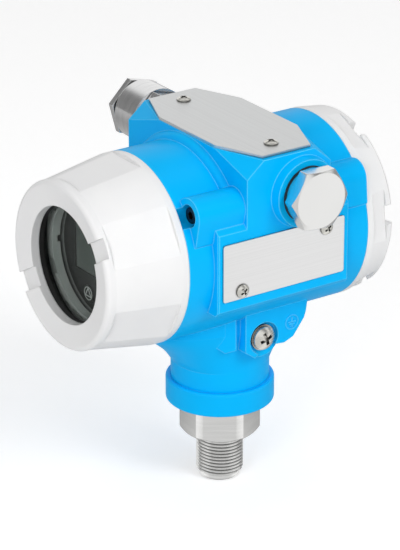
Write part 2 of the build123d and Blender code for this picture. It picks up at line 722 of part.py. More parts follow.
with BuildPart() as process_connection:
    extrude(hexagon(Plane.XY, PROCESS_HEX_FLATS, PROCESS_HEX_HEADING + 30), amount=PROCESS_HEX_HEIGHT)
    extrude(disc(Plane.XY, PROCESS_HEX_TURNED_R), amount=PROCESS_HEX_HEIGHT, mode=Mode.INTERSECT)
    spigot_top = PROCESS_HEX_HEIGHT + PROCESS_SPIGOT_HEIGHT
    thread_end = -PROCESS_THREAD_LENGTH - PROCESS_THREAD_CHAMFER
    revolve(
        outline(
            Plane.XZ,
            (0, spigot_top),
            (PROCESS_SPIGOT_R, spigot_top),
            (PROCESS_SPIGOT_R, 0),
            (PROCESS_THREAD_R, 0),
            (PROCESS_THREAD_R, -PROCESS_THREAD_LENGTH),
            (PROCESS_THREAD_R - PROCESS_THREAD_CHAMFER, thread_end),
            (PROCESS_TIP_R, thread_end),
            (PROCESS_TIP_R, thread_end - PROCESS_TIP_LENGTH),
            (0, thread_end - PROCESS_TIP_LENGTH),
        ),
        axis=Axis.Z,
    )
    sensor_pocket_r = SENSOR_R + LOOSE_GAP
    seal_groove_depth = 2 * SENSOR_SEAL_SECTION_R
    revolve(
        outline(
            Plane.XZ,
            (0, spigot_top),
            (sensor_pocket_r, spigot_top),
            (sensor_pocket_r, SENSOR_SEAT_Z),
            (SENSOR_SEAL_R + SENSOR_SEAL_SECTION_R, SENSOR_SEAT_Z),
            (SENSOR_SEAL_R + SENSOR_SEAL_SECTION_R, SENSOR_SEAT_Z - seal_groove_depth),
            (SENSOR_SEAL_R - SENSOR_SEAL_SECTION_R, SENSOR_SEAT_Z - seal_groove_depth),
            (SENSOR_SEAL_R - SENSOR_SEAL_SECTION_R, SENSOR_SEAT_Z),
            (SENSOR_CHAMBER_R, SENSOR_SEAT_Z),
            (SENSOR_CHAMBER_R, SENSOR_SEAT_Z - SENSOR_CHAMBER_DEPTH),
            (PORT_R, SENSOR_SEAT_Z - SENSOR_CHAMBER_DEPTH),
            (PORT_R, thread_end - PROCESS_TIP_LENGTH),
            (0, thread_end - PROCESS_TIP_LENGTH),
        ),
        axis=Axis.Z,
        mode=Mode.SUBTRACT,
    )
process_connection.part.label = "process_connection"
export_step(process_connection.part, "parts/process_connection.step")

with BuildPart() as pressure_sensor:
    extrude(disc(Plane.XY.offset(SENSOR_SEAT_Z), SENSOR_R), amount=SENSOR_HEIGHT)
    fillet(edges().group_by(Axis.Z)[-1], radius=0.6)
pressure_sensor.part.label = "pressure_sensor"
export_step(pressure_sensor.part, "parts/pressure_sensor.step")

with BuildPart() as isolating_diaphragm:
    extrude(disc(Plane.XY.offset(SENSOR_SEAT_Z), DIAPHRAGM_R), amount=-DIAPHRAGM_THICKNESS)
isolating_diaphragm.part.label = "isolating_diaphragm"
export_step(isolating_diaphragm.part, "parts/isolating_diaphragm.step")

with BuildPart() as sensor_seal:
    revolve(
        disc(Plane.XZ, SENSOR_SEAL_SECTION_R, at=(SENSOR_SEAL_R, SENSOR_SEAT_Z - SENSOR_SEAL_SECTION_R)),
        axis=Axis.Z,
    )
sensor_seal.part.label = "sensor_seal"
export_step(sensor_seal.part, "parts/sensor_seal.step")

sensor_top_z = SENSOR_SEAT_Z + SENSOR_HEIGHT
with BuildPart() as sensor_clamp_ring:
    extrude(ring(Plane.XY.offset(sensor_top_z), SENSOR_R, CLAMP_RING_BORE_R), amount=CLAMP_RING_HEIGHT)
sensor_clamp_ring.part.label = "sensor_clamp_ring"
export_step(sensor_clamp_ring.part, "parts/sensor_clamp_ring.step")

# Collar, which carries the swivel spigot that the neck turns on

collar_ledge_z = COLLAR_TOP_Z - COLLAR_LIP
board_z = PROCESS_HEX_HEIGHT + PROCESS_SPIGOT_HEIGHT + SENSOR_BOARD_LEDGE
groove_bottom_z = COLLAR_TOP_Z + SWIVEL_GROOVE_RISE
groove_top_z = groove_bottom_z + SWIVEL_GROOVE_WIDTH
seal_z = groove_top_z + 2 * NECK_SEAL_SECTION_R + 1
seal_ring_r = SPIGOT_R - NECK_SEAL_SECTION_R
with BuildPart() as collar:
    revolve(
        outline(
            Plane.XZ,
            (PROCESS_SPIGOT_R + RUNNING_GAP, PROCESS_HEX_HEIGHT),
            (COLLAR_R, PROCESS_HEX_HEIGHT),
            (COLLAR_R, COLLAR_TOP_Z),
            (NECK_R + RUNNING_GAP, COLLAR_TOP_Z),
            (NECK_R + RUNNING_GAP, collar_ledge_z),
            (SPIGOT_R, collar_ledge_z),
            (SPIGOT_R, groove_bottom_z),
            (SPIGOT_R - SWIVEL_GROOVE_DEPTH, groove_bottom_z),
            (SPIGOT_R - SWIVEL_GROOVE_DEPTH, groove_top_z),
            (SPIGOT_R, groove_top_z),
            (SPIGOT_R, seal_z - NECK_SEAL_SECTION_R),
            (SPIGOT_R - 2 * NECK_SEAL_SECTION_R, seal_z - NECK_SEAL_SECTION_R),
            (SPIGOT_R - 2 * NECK_SEAL_SECTION_R, seal_z + NECK_SEAL_SECTION_R),
            (SPIGOT_R, seal_z + NECK_SEAL_SECTION_R),
            (SPIGOT_R, SPIGOT_TOP_Z),
            (SPIGOT_BORE_R, SPIGOT_TOP_Z),
            (SPIGOT_BORE_R, board_z),
            (SPIGOT_BORE_R - SENSOR_BOARD_LEDGE, board_z),
            (SPIGOT_BORE_R - SENSOR_BOARD_LEDGE, spigot_top),
            (PROCESS_SPIGOT_R + RUNNING_GAP, spigot_top),
        ),
        axis=Axis.Z,
    )
    rim_edges = edges().filter_by(GeomType.CIRCLE).filter_by(lambda edge: edge.radius > COLLAR_R - 0.1)
    fillet(rim_edges, radius=COLLAR_ROUND)
collar.part.label = "collar"
export_step(collar.part, "parts/collar.step")

with BuildPart() as sensor_board:
    extrude(disc(Plane.XY.offset(board_z), SPIGOT_BORE_R - LOOSE_GAP), amount=SENSOR_BOARD_THICKNESS)
    extrude(disc(Plane.XY.offset(board_z), SPIGOT_BORE_R / 3), amount=SENSOR_BOARD_THICKNESS * 3)
sensor_board.part.label = "sensor_board"
export_step(sensor_board.part, "parts/sensor_board.step")

with BuildPart() as neck_seal:
    revolve(disc(Plane.XZ, NECK_SEAL_SECTION_R, at=(seal_ring_r, seal_z)), axis=Axis.Z)
neck_seal.part.label = "neck_seal"
export_step(neck_seal.part, "parts/neck_seal.step")

with BuildPart() as neck_set_screw:
    tip_plane = heading_plane(NECK_SCREW_HEADING, SPIGOT_R - SWIVEL_GROOVE_DEPTH + RUNNING_GAP, neck_screw_z)
    extrude(disc(tip_plane, NECK_SCREW_R), amount=NECK_SCREW_LENGTH)
    extrude(
        hexagon(tip_plane.offset(NECK_SCREW_LENGTH), NECK_SCREW_R),
        amount=-NECK_SCREW_R,
        mode=Mode.SUBTRACT,
    )
neck_set_screw.part.label = "neck_set_screw"
export_step(neck_set_screw.part, "parts/neck_set_screw.step")

# Front cover

with BuildPart() as front_cover:
    with BuildSketch(radial_plane(90)) as section:
        with BuildLine():
            Polyline(
                (RIDGE_Y, BEZEL_R - BEZEL_ROUND),
                (OPENING_Y, OPENING_R),
                (LIP_Y, OPENING_R),
                (LIP_Y, POCKET_R),
                (GLASS_BACK_Y, POCKET_R),
                (GLASS_BACK_Y, RING_THREAD_R),
                (RING_BACK_Y, RING_THREAD_R),
                (RING_BACK_Y, SKIRT_BORE_R),
                (FRONT_FLANGE_Y + COVER_SKIRT, SKIRT_BORE_R),
                (FRONT_FLANGE_Y + COVER_SKIRT, SKIRT_R),
                (FRONT_FLANGE_Y + COVER_GROOVE_WIDTH, SKIRT_R),
                (FRONT_FLANGE_Y + COVER_GROOVE_WIDTH, SKIRT_GROOVE_R),
                (FRONT_FLANGE_Y, SKIRT_GROOVE_R),
                (FRONT_FLANGE_Y, BARREL_R),
                (FRONT_CRESCENT_Y, BARREL_R),
                (BEZEL_Y, BEZEL_R),
                (RIDGE_Y + BEZEL_ROUND, BEZEL_R),
            )
            RadiusArc((RIDGE_Y + BEZEL_ROUND, BEZEL_R), (RIDGE_Y, BEZEL_R - BEZEL_ROUND), -BEZEL_ROUND)
        make_face()
    revolve(section.sketch, axis=BARREL_AXIS)
    facet = cos(radians(FACET_HALF_ANGLE))
    for step in range(FACET_COUNT):
        extrude(
            facet_cut(
                FRONT_FACET_PHASE + step * 360 / FACET_COUNT,
                FRONT_CRESCENT_Y,
                BARREL_R * facet,
                BEZEL_Y,
                BEZEL_R * facet,
            ),
            amount=BARREL_R / 2,
            both=True,
            mode=Mode.SUBTRACT,
        )
    with BuildSketch(front_plane(RIDGE_Y + FRONT_NOTCH_DEPTH)) as front_notches:
        with PolarLocations((OPENING_R + BEZEL_R) / 2, 2, start_angle=FRONT_FACET_PHASE):
            Rectangle(BARREL_R - OPENING_R, NOTCH_WIDTH)
    extrude(front_notches.sketch, amount=FRONT_NOTCH_DEPTH + 1, mode=Mode.SUBTRACT)
front_cover.part.label = "front_cover"
export_step(front_cover.part, "parts/front_cover.step")

with BuildPart() as front_cover_seal:
    revolve(
        seal_section(
            radial_plane(90),
            FRONT_FLANGE_Y + COVER_GROOVE_WIDTH / 2,
            SKIRT_GROOVE_R + COVER_SEAL_SECTION_R,
            COVER_SEAL_SECTION_R,
        ),
        axis=BARREL_AXIS,
    )
front_cover_seal.part.label = "front_cover_seal"
export_step(front_cover_seal.part, "parts/front_cover_seal.step")

with BuildPart() as window_glass:
    extrude(disc(front_plane(GLASS_BACK_Y), GLASS_R), amount=GLASS_THICKNESS)
    chamfer(edges(), length=0.4)
window_glass.part.label = "window_glass"
export_step(window_glass.part, "parts/window_glass.step")

with BuildPart() as window_gasket:
    revolve(
        outline(
            radial_plane(90),
            (LIP_Y, OPENING_R + LOOSE_GAP),
            (LIP_Y, POCKET_R),
            (GLASS_BACK_Y, POCKET_R),
            (GLASS_BACK_Y, GLASS_R + LOOSE_GAP),
            (GLASS_FRONT_Y, GLASS_R + LOOSE_GAP),
            (GLASS_FRONT_Y, OPENING_R + LOOSE_GAP),
        ),
        axis=BARREL_AXIS,
    )
window_gasket.part.label = "window_gasket"
export_step(window_gasket.part, "parts/window_gasket.step")

with BuildPart() as window_retaining_ring:
    ring_outer_r = RING_THREAD_R - THREAD_GAP
    extrude(ring(front_plane(RING_BACK_Y), ring_outer_r, RETAINING_RING_BORE_R), amount=RETAINING_RING_LENGTH)
    with BuildSketch(front_plane(RING_BACK_Y)) as key_slots:
        with PolarLocations((RETAINING_RING_BORE_R + ring_outer_r) / 2, 2):
            Rectangle(2 * (ring_outer_r - RETAINING_RING_BORE_R), RETAINING_RING_SLOT)
    extrude(key_slots.sketch, amount=RETAINING_RING_LENGTH / 3, mode=Mode.SUBTRACT)
window_retaining_ring.part.label = "window_retaining_ring"
export_step(window_retaining_ring.part, "parts/window_retaining_ring.step")

# Rear cover

with BuildPart() as rear_cover:
    revolve(
        outline(
            radial_plane(90),
            (REAR_END_Y, REAR_RIM_INNER_R),
            (REAR_END_Y, REAR_COVER_END_R - REAR_COVER_ROUND),
            (REAR_END_Y - REAR_COVER_ROUND, REAR_COVER_END_R),
            (REAR_CRESCENT_Y, BARREL_R),
            (REAR_FLANGE_Y, BARREL_R),
            (REAR_FLANGE_Y, SKIRT_GROOVE_R),
            (REAR_FLANGE_Y - COVER_GROOVE_WIDTH, SKIRT_GROOVE_R),
            (REAR_FLANGE_Y - COVER_GROOVE_WIDTH, SKIRT_R),
            (REAR_FLANGE_Y - COVER_SKIRT, SKIRT_R),
            (REAR_FLANGE_Y - COVER_SKIRT, SKIRT_BORE_R),
            (REAR_FLOOR_Y - REAR_COVER_WALL, SKIRT_BORE_R),
            (REAR_FLOOR_Y - REAR_COVER_WALL, 0),
            (REAR_FLOOR_Y, 0),
            (REAR_FLOOR_Y, REAR_RIM_INNER_R),
        ),
        axis=BARREL_AXIS,
    )
    for step in range(FACET_COUNT):
        extrude(
            facet_cut(
                REAR_FACET_PHASE + step * 360 / FACET_COUNT,
                REAR_CRESCENT_Y,
                BARREL_R * facet,
                REAR_FLOOR_Y,
                REAR_COVER_END_R * facet,
            ),
            amount=BARREL_R / 2,
            both=True,
            mode=Mode.SUBTRACT,
        )
    with BuildSketch(rear_plane(REAR_FLOOR_Y)) as rear_notches:
        with PolarLocations((REAR_RIM_INNER_R + BARREL_R) / 2, FACET_COUNT, start_angle=-REAR_FACET_PHASE):
            Rectangle(BARREL_R - REAR_RIM_INNER_R + 2, REAR_NOTCH_WIDTH)
    extrude(rear_notches.sketch, amount=REAR_NOTCH_DEPTH, mode=Mode.SUBTRACT)
rear_cover.part.label = "rear_cover"
export_step(rear_cover.part, "parts/rear_cover.step")

with BuildPart() as rear_cover_seal:
    revolve(
        seal_section(
            radial_plane(90),
            REAR_FLANGE_Y - COVER_GROOVE_WIDTH / 2,
            SKIRT_GROOVE_R + COVER_SEAL_SECTION_R,
            COVER_SEAL_SECTION_R,
        ),
        axis=BARREL_AXIS,
    )
rear_cover_seal.part.label = "rear_cover_seal"
export_step(rear_cover_seal.part, "parts/rear_cover_seal.step")

# Display

display_back_y = DISPLAY_FACE_Y + DISPLAY_PLATE
screen_rise = (SCREEN_TOP_RISE - SCREEN_BOTTOM_DROP) / 2
screen_height = SCREEN_TOP_RISE + SCREEN_BOTTOM_DROP
key_places = ((-KEY_X, -KEY_DROP), (KEY_X, -KEY_DROP))
board_front_y = DISPLAY_FACE_Y + DISPLAY_BOARD_DEPTH

with BuildPart() as display_housing:
    extrude(disc(front_plane(DISPLAY_FACE_Y), DISPLAY_R), amount=-(MODULE_FRONT_Y - DISPLAY_FACE_Y))
    extrude(
        disc(front_plane(board_front_y), DISPLAY_R - DISPLAY_WALL),
        amount=-(MODULE_FRONT_Y - board_front_y),
        mode=Mode.SUBTRACT,
    )
    extrude(
        disc(front_plane(display_back_y), DISPLAY_R - DISPLAY_WALL - DISPLAY_LEDGE),
        amount=-(board_front_y - display_back_y),
        mode=Mode.SUBTRACT,
    )
    extrude(
        disc(front_plane(DISPLAY_FACE_Y), FASCIA_R + LOOSE_GAP),
        amount=-FASCIA_THICKNESS,
        mode=Mode.SUBTRACT,
    )
    with BuildSketch(front_plane(DISPLAY_FACE_Y)) as openings:
        with Locations((0, screen_rise)):
            Rectangle(SCREEN_WIDTH, screen_height)
        with Locations(*key_places):
            Circle(KEY_R + LOOSE_GAP)
    extrude(openings.sketch, amount=-DISPLAY_PLATE, mode=Mode.SUBTRACT)
display_housing.part.label = "display_housing"
export_step(display_housing.part, "parts/display_housing.step")

with BuildPart() as display_fascia:
    with BuildSketch(front_plane(DISPLAY_FACE_Y)) as fascia:
        Circle(FASCIA_R)
        with Locations((0, screen_rise)):
            Rectangle(SCREEN_WIDTH, screen_height, mode=Mode.SUBTRACT)
        with Locations(*key_places):
            Circle(KEY_R + LOOSE_GAP, mode=Mode.SUBTRACT)
    extrude(fascia.sketch, amount=-FASCIA_THICKNESS)
display_fascia.part.label = "display_fascia"
export_step(display_fascia.part, "parts/display_fascia.step")

with BuildPart() as lcd_screen:
    with BuildSketch(front_plane(display_back_y)) as screen:
        with Locations((0, screen_rise)):
            Rectangle(SCREEN_WIDTH + 2 * SCREEN_BORDER, screen_height + 2 * SCREEN_BORDER)
    extrude(screen.sketch, amount=-SCREEN_THICKNESS)
    with BuildSketch(front_plane(display_back_y)) as viewing_area:
        with Locations((0, screen_rise)):
            Rectangle(SCREEN_WIDTH - 2 * LOOSE_GAP, screen_height - 2 * LOOSE_GAP)
    extrude(viewing_area.sketch, amount=DISPLAY_PLATE - FASCIA_THICKNESS)
lcd_screen.part.label = "lcd_screen"
export_step(lcd_screen.part, "parts/lcd_screen.step")

with BuildPart() as display_board:
    extrude(disc(front_plane(board_front_y), DISPLAY_BOARD_R), amount=-DISPLAY_BOARD_THICKNESS)
display_board.part.label = "display_board"
export_step(display_board.part, "parts/display_board.step")

key_back_y = board_front_y - KEY_TRAVEL - LOOSE_GAP
key_flange_y = display_back_y + RUNNING_GAP

with BuildPart() as key_left:
    extrude(
        disc(front_plane(key_back_y), KEY_R, at=key_places[0]),
        amount=key_back_y - DISPLAY_FACE_Y + KEY_PROUD,
    )
    extrude(disc(front_plane(key_flange_y), KEY_FLANGE_R, at=key_places[0]), amount=-KEY_FLANGE)
key_left.part.label = "key_left"
export_step(key_left.part, "parts/key_left.step")

with BuildPart() as key_right:
    extrude(
        disc(front_plane(key_back_y), KEY_R, at=key_places[1]),
        amount=key_back_y - DISPLAY_FACE_Y + KEY_PROUD,
    )
    extrude(disc(front_plane(key_flange_y), KEY_FLANGE_R, at=key_places[1]), amount=-KEY_FLANGE)
key_right.part.label = "key_right"
export_step(key_right.part, "parts/key_right.step")

# Electronics module, standing on the bulkhead on three feet

with BuildPart() as electronics_module:
    extrude(disc(front_plane(MODULE_REAR_Y), MODULE_R), amount=MODULE_REAR_Y - MODULE_FRONT_Y)
    extrude(
        disc(front_plane(MODULE_FRONT_Y), DISPLAY_R - DISPLAY_WALL - LOOSE_GAP),
        amount=MODULE_SHOULDER,
    )
    with BuildSketch(front_plane(BULKHEAD_FRONT_Y)) as feet:
        with PolarLocations(MODULE_SCREW_CIRCLE_R, 3, start_angle=90):
            Circle(MODULE_FOOT_R)
    extrude(feet.sketch, amount=BULKHEAD_FRONT_Y - MODULE_REAR_Y)
    module_face_y = MODULE_FRONT_Y - MODULE_SHOULDER
    with BuildSketch(front_plane(module_face_y)) as screw_holes:
        with PolarLocations(MODULE_SCREW_CIRCLE_R, 3, start_angle=90):
            Circle(MODULE_SCREW_R + LOOSE_GAP)
    extrude(screw_holes.sketch, amount=-(BULKHEAD_FRONT_Y - module_face_y), mode=Mode.SUBTRACT)
    extrude(
        disc(front_plane(MODULE_REAR_Y), FEEDTHROUGH_FLANGE_R + 1),
        amount=(MODULE_REAR_Y - MODULE_FRONT_Y) / 6,
        mode=Mode.SUBTRACT,
    )
electronics_module.part.label = "electronics_module"
export_step(electronics_module.part, "parts/electronics_module.step")

with BuildPart() as module_screws:
    module_screw_length = BULKHEAD_FRONT_Y - module_face_y + MODULE_SCREW_BITE - 0.5
    for step in range(3):
        turn = radians(90 + step * 120)
        seat = Plane(
            origin=(
                MODULE_SCREW_CIRCLE_R * cos(turn),
                module_face_y,
                BARREL_Z + MODULE_SCREW_CIRCLE_R * sin(turn),
            ),
            x_dir=(1, 0, 0),
            z_dir=(0, -1, 0),
        )
        pan_screw(seat, MODULE_SCREW_HEAD_R, MODULE_SCREW_HEAD_HEIGHT, MODULE_SCREW_R, module_screw_length)
module_screws.part.label = "module_screws"
export_step(module_screws.part, "parts/module_screws.step")

with BuildPart() as bulkhead_feedthrough:
    feedthrough_rear_y = BULKHEAD_REAR_Y + FEEDTHROUGH_PROUD
    extrude(
        disc(front_plane(feedthrough_rear_y), FEEDTHROUGH_R),
        amount=feedthrough_rear_y - BULKHEAD_FRONT_Y,
    )
    extrude(disc(front_plane(BULKHEAD_FRONT_Y), FEEDTHROUGH_FLANGE_R), amount=FEEDTHROUGH_FLANGE)
bulkhead_feedthrough.part.label = "bulkhead_feedthrough"
export_step(bulkhead_feedthrough.part, "parts/bulkhead_feedthrough.step")

# Terminal block and the fasteners of the terminal compartment

terminal_front_y = BULKHEAD_REAR_Y + TERMINAL_DEPTH
terminal_seat_y = terminal_front_y - TERMINAL_STEP
block_seat_y = BULKHEAD_REAR_Y + TERMINAL_DEPTH / 3
terminal_places = [
    ((index - (TERMINAL_COUNT - 1) / 2) * TERMINAL_PITCH, -TERMINAL_DROP / 3)
    for index in range(TERMINAL_COUNT)
]

with BuildPart() as terminal_block:
    with BuildSketch(rear_plane(BULKHEAD_REAR_Y)) as base:
        with Locations((0, (TERMINAL_RISE - TERMINAL_DROP) / 2)):
            Rectangle(2 * TERMINAL_HALF_WIDTH, TERMINAL_RISE + TERMINAL_DROP)
    extrude(base.sketch, amount=TERMINAL_DEPTH)
    # Step over the two mounting screws
    ledge_height = TERMINAL_RISE - BLOCK_SCREW_RISE + TERMINAL_SCREW_HEAD_R + 1
    with BuildSketch(rear_plane(terminal_front_y)) as ledge:
        with Locations((0, TERMINAL_RISE - ledge_height / 2)):
            Rectangle(2 * TERMINAL_HALF_WIDTH, ledge_height)
    extrude(ledge.sketch, amount=-(terminal_front_y - block_seat_y), mode=Mode.SUBTRACT)
    # Open slots for the clamps, one to a terminal
    with BuildSketch(rear_plane(terminal_front_y)) as slots:
        with Locations(*terminal_places):
            Rectangle(TERMINAL_SLOT, TERMINAL_SLOT)
    extrude(slots.sketch, amount=-TERMINAL_STEP, mode=Mode.SUBTRACT)
    with BuildSketch(rear_plane(terminal_seat_y)) as screw_holes:
        with Locations(*terminal_places):
            Circle(TERMINAL_SCREW_R + RUNNING_GAP)
    extrude(screw_holes.sketch, amount=-TERMINAL_STEP, mode=Mode.SUBTRACT)
    with BuildSketch(rear_plane(block_seat_y)) as mounting_holes:
        with Locations((BLOCK_SCREW_X, BLOCK_SCREW_RISE), (-BLOCK_SCREW_X, BLOCK_SCREW_RISE)):
            Circle(TERMINAL_SCREW_R + LOOSE_GAP)
    extrude(mounting_holes.sketch, amount=-TERMINAL_DEPTH / 3, mode=Mode.SUBTRACT)
    extrude(
        disc(rear_plane(BULKHEAD_REAR_Y), FEEDTHROUGH_R + 1),
        amount=FEEDTHROUGH_PROUD + 0.5,
        mode=Mode.SUBTRACT,
    )
terminal_block.part.label = "terminal_block"
export_step(terminal_block.part, "parts/terminal_block.step")

with BuildPart() as terminal_clamps:
    with BuildSketch(rear_plane(terminal_seat_y)) as clamps:
        with Locations(*terminal_places):
            Rectangle(CLAMP_SIZE, CLAMP_SIZE)
            Circle(TERMINAL_SCREW_R + RUNNING_GAP, mode=Mode.SUBTRACT)
    extrude(clamps.sketch, amount=CLAMP_THICKNESS)
terminal_clamps.part.label = "terminal_clamps"
export_step(terminal_clamps.part, "parts/terminal_clamps.step")

with BuildPart() as terminal_screws:
    for place in terminal_places:
        seat = Plane(
            origin=(-place[0], terminal_seat_y + CLAMP_THICKNESS, BARREL_Z + place[1]),
            x_dir=(-1, 0, 0),
            z_dir=(0, 1, 0),
        )
        pan_screw(
            seat,
            TERMINAL_SCREW_HEAD_R,
            TERMINAL_SCREW_HEAD_HEIGHT,
            TERMINAL_SCREW_R,
            CLAMP_THICKNESS + TERMINAL_STEP - 0.5,
        )
terminal_screws.part.label = "terminal_screws"
export_step(terminal_screws.part, "parts/terminal_screws.step")

with BuildPart() as terminal_block_screws:
    for screw_x in (BLOCK_SCREW_X, -BLOCK_SCREW_X):
        seat = Plane(
            origin=(screw_x, block_seat_y, BARREL_Z + BLOCK_SCREW_RISE),
            x_dir=(-1, 0, 0),
            z_dir=(0, 1, 0),
        )
        pan_screw(
            seat,
            TERMINAL_SCREW_HEAD_R - 0.4,
            TERMINAL_SCREW_HEAD_HEIGHT,
            TERMINAL_SCREW_R,
            TERMINAL_DEPTH / 3 + MODULE_SCREW_BITE - 0.5,
        )
terminal_block_screws.part.label = "terminal_block_screws"
export_step(terminal_block_screws.part, "parts/terminal_block_screws.step")

with BuildPart() as inner_earth_screw:
    pan_screw(
        rear_plane(BULKHEAD_REAR_Y, -INNER_EARTH_DROP),
        INNER_EARTH_HEAD_R,
        TERMINAL_SCREW_HEAD_HEIGHT,
        TERMINAL_SCREW_R,
        MODULE_SCREW_BITE - 0.5,
    )
inner_earth_screw.part.label = "inner_earth_screw"
export_step(inner_earth_screw.part, "parts/inner_earth_screw.step")

# Plates and their screws

with BuildPart() as top_plate:
    cut_y = TOP_PLATE_HALF_Y - TOP_PLATE_CUT_Y
    cut_x = TOP_PLATE_HALF_X - TOP_PLATE_CUT_X
    with BuildSketch(Plane.XY.offset(BLOCK_TOP_Z)) as plate:
        with BuildLine():
            Polyline(
                (TOP_PLATE_HALF_X, BLOCK_CENTRE_Y - cut_y),
                (TOP_PLATE_HALF_X, BLOCK_CENTRE_Y + cut_y),
                (cut_x, BLOCK_CENTRE_Y + TOP_PLATE_HALF_Y),
                (-cut_x, BLOCK_CENTRE_Y + TOP_PLATE_HALF_Y),
                (-TOP_PLATE_HALF_X, BLOCK_CENTRE_Y + cut_y),
                (-TOP_PLATE_HALF_X, BLOCK_CENTRE_Y - cut_y),
                (-cut_x, BLOCK_CENTRE_Y - TOP_PLATE_HALF_Y),
                (cut_x, BLOCK_CENTRE_Y - TOP_PLATE_HALF_Y),
                close=True,
            )
        make_face()
        with Locations((-TOP_SCREW_X, TOP_SCREW_Y), (TOP_SCREW_X, TOP_SCREW_Y)):
            Circle(PLATE_SCREW_R + LOOSE_GAP, mode=Mode.SUBTRACT)
    extrude(plate.sketch, amount=TOP_PLATE_THICKNESS)
top_plate.part.label = "top_plate"
export_step(top_plate.part, "parts/top_plate.step")

with BuildPart() as top_plate_screws:
    for screw_x in (-TOP_SCREW_X, TOP_SCREW_X):
        pan_screw(
            Plane(origin=(screw_x, TOP_SCREW_Y, BLOCK_TOP_Z + TOP_PLATE_THICKNESS)),
            PLATE_SCREW_HEAD_R,
            PLATE_SCREW_HEAD_HEIGHT,
            PLATE_SCREW_R,
            TOP_PLATE_THICKNESS + PLATE_SCREW_LENGTH - 0.5,
            turn=20,
        )
top_plate_screws.part.label = "top_plate_screws"
export_step(top_plate_screws.part, "parts/top_plate_screws.step")

with BuildPart() as side_plate:
    with BuildSketch(side_plate_plane) as plate:
        RectangleRounded(SIDE_PLATE_LENGTH, SIDE_PLATE_HEIGHT, SIDE_PLATE_CORNER_R)
        with Locations(SIDE_SCREW_SPREAD, (-SIDE_SCREW_SPREAD[0], -SIDE_SCREW_SPREAD[1])):
            Circle(PLATE_SCREW_R + LOOSE_GAP, mode=Mode.SUBTRACT)
    extrude(plate.sketch, amount=SIDE_PLATE_THICKNESS)
side_plate.part.label = "side_plate"
export_step(side_plate.part, "parts/side_plate.step")

with BuildPart() as side_plate_screws:
    for sign in (-1, 1):
        pan_screw(
            right_plane(
                BLOCK_HALF_X + SIDE_PLATE_THICKNESS,
                SIDE_PLATE_CENTRE_Y + sign * SIDE_SCREW_SPREAD[0],
                BARREL_Z - SIDE_PLATE_DROP + sign * SIDE_SCREW_SPREAD[1],
            ),
            PLATE_SCREW_HEAD_R,
            PLATE_SCREW_HEAD_HEIGHT,
            PLATE_SCREW_R,
            SIDE_PLATE_THICKNESS + PLATE_SCREW_LENGTH - 0.5,
            turn=35,
        )
side_plate_screws.part.label = "side_plate_screws"
export_step(side_plate_screws.part, "parts/side_plate_screws.step")

# Conduit plug and its seal

with BuildPart() as plug_seal:
    extrude(
        ring(right_plane(CONDUIT_FACE_X, CONDUIT_Y, CONDUIT_Z), PLUG_SEAL_R, CONDUIT_R),
        amount=PLUG_SEAL_THICKNESS,
    )
plug_seal.part.label = "plug_seal"
export_step(plug_seal.part, "parts/plug_seal.step")

with BuildPart() as conduit_plug:
    shoulder_plane = right_plane(CONDUIT_FACE_X + PLUG_SEAL_THICKNESS, CONDUIT_Y, CONDUIT_Z)
    hex_plane = shoulder_plane.offset(PLUG_SHOULDER)
    crown_plane = hex_plane.offset(PLUG_HEX_HEIGHT)
    extrude(hexagon(hex_plane, PLUG_HEX_FLATS, PLUG_HEX_TURN), amount=PLUG_HEX_HEIGHT)
    revolve(
        outline(
            half_section(hex_plane),
            (0, 0),
            (PLUG_TURNED_R, 0),
            (PLUG_TURNED_R, PLUG_HEX_HEIGHT - PLUG_CROWN),
            (PLUG_HEX_FLATS / 2 - 0.4, PLUG_HEX_HEIGHT),
            (0, PLUG_HEX_HEIGHT),
        ),
        axis=Axis(hex_plane.origin, hex_plane.z_dir),
        mode=Mode.INTERSECT,
    )
    extrude(disc(shoulder_plane, PLUG_SHOULDER_R), amount=PLUG_SHOULDER)
    extrude(disc(shoulder_plane, CONDUIT_R - RUNNING_GAP), amount=-PLUG_SHANK_LENGTH)
conduit_plug.part.label = "conduit_plug"
export_step(conduit_plug.part, "parts/conduit_plug.step")

# Cable gland

gland_face = left_plane(-CONDUIT_FACE_X, CONDUIT_Y, CONDUIT_Z)
gland_hex_plane = gland_face.offset(PLUG_SEAL_THICKNESS + GLAND_SHOULDER)
gland_thread_plane = gland_hex_plane.offset(GLAND_BODY_HEX)
gland_end_plane = gland_thread_plane.offset(GLAND_THREAD_LENGTH)
nut_plane = gland_thread_plane.offset(COVER_GAP)
nut_hex_plane = nut_plane.offset(GLAND_NUT_LENGTH - GLAND_NUT_HEX)
washer_plane = gland_end_plane.offset(LOOSE_GAP)
nut_wall_plane = washer_plane.offset(GLAND_WASHER_THICKNESS + LOOSE_GAP)

with BuildPart() as gland_seal:
    extrude(ring(gland_face, PLUG_SEAL_R, CONDUIT_R), amount=PLUG_SEAL_THICKNESS)
gland_seal.part.label = "gland_seal"
export_step(gland_seal.part, "parts/gland_seal.step")

with BuildPart() as gland_body:
    extrude(hexagon(gland_hex_plane, GLAND_BODY_FLATS, GLAND_NUT_TURN), amount=GLAND_BODY_HEX)
    extrude(disc(gland_face.offset(PLUG_SEAL_THICKNESS), PLUG_SHOULDER_R), amount=GLAND_SHOULDER)
    extrude(
        disc(gland_face.offset(PLUG_SEAL_THICKNESS), CONDUIT_R - RUNNING_GAP),
        amount=-PLUG_SHANK_LENGTH,
    )
    extrude(disc(gland_thread_plane, GLAND_THREAD_R), amount=GLAND_THREAD_LENGTH)
    gland_length = (gland_end_plane.origin - gland_face.origin).length + PLUG_SHANK_LENGTH
    extrude(disc(gland_end_plane, GLAND_BORE_R), amount=-gland_length, mode=Mode.SUBTRACT)
    extrude(disc(gland_end_plane, GLAND_POCKET_R), amount=-GLAND_POCKET_DEPTH, mode=Mode.SUBTRACT)
gland_body.part.label = "gland_body"
export_step(gland_body.part, "parts/gland_body.step")

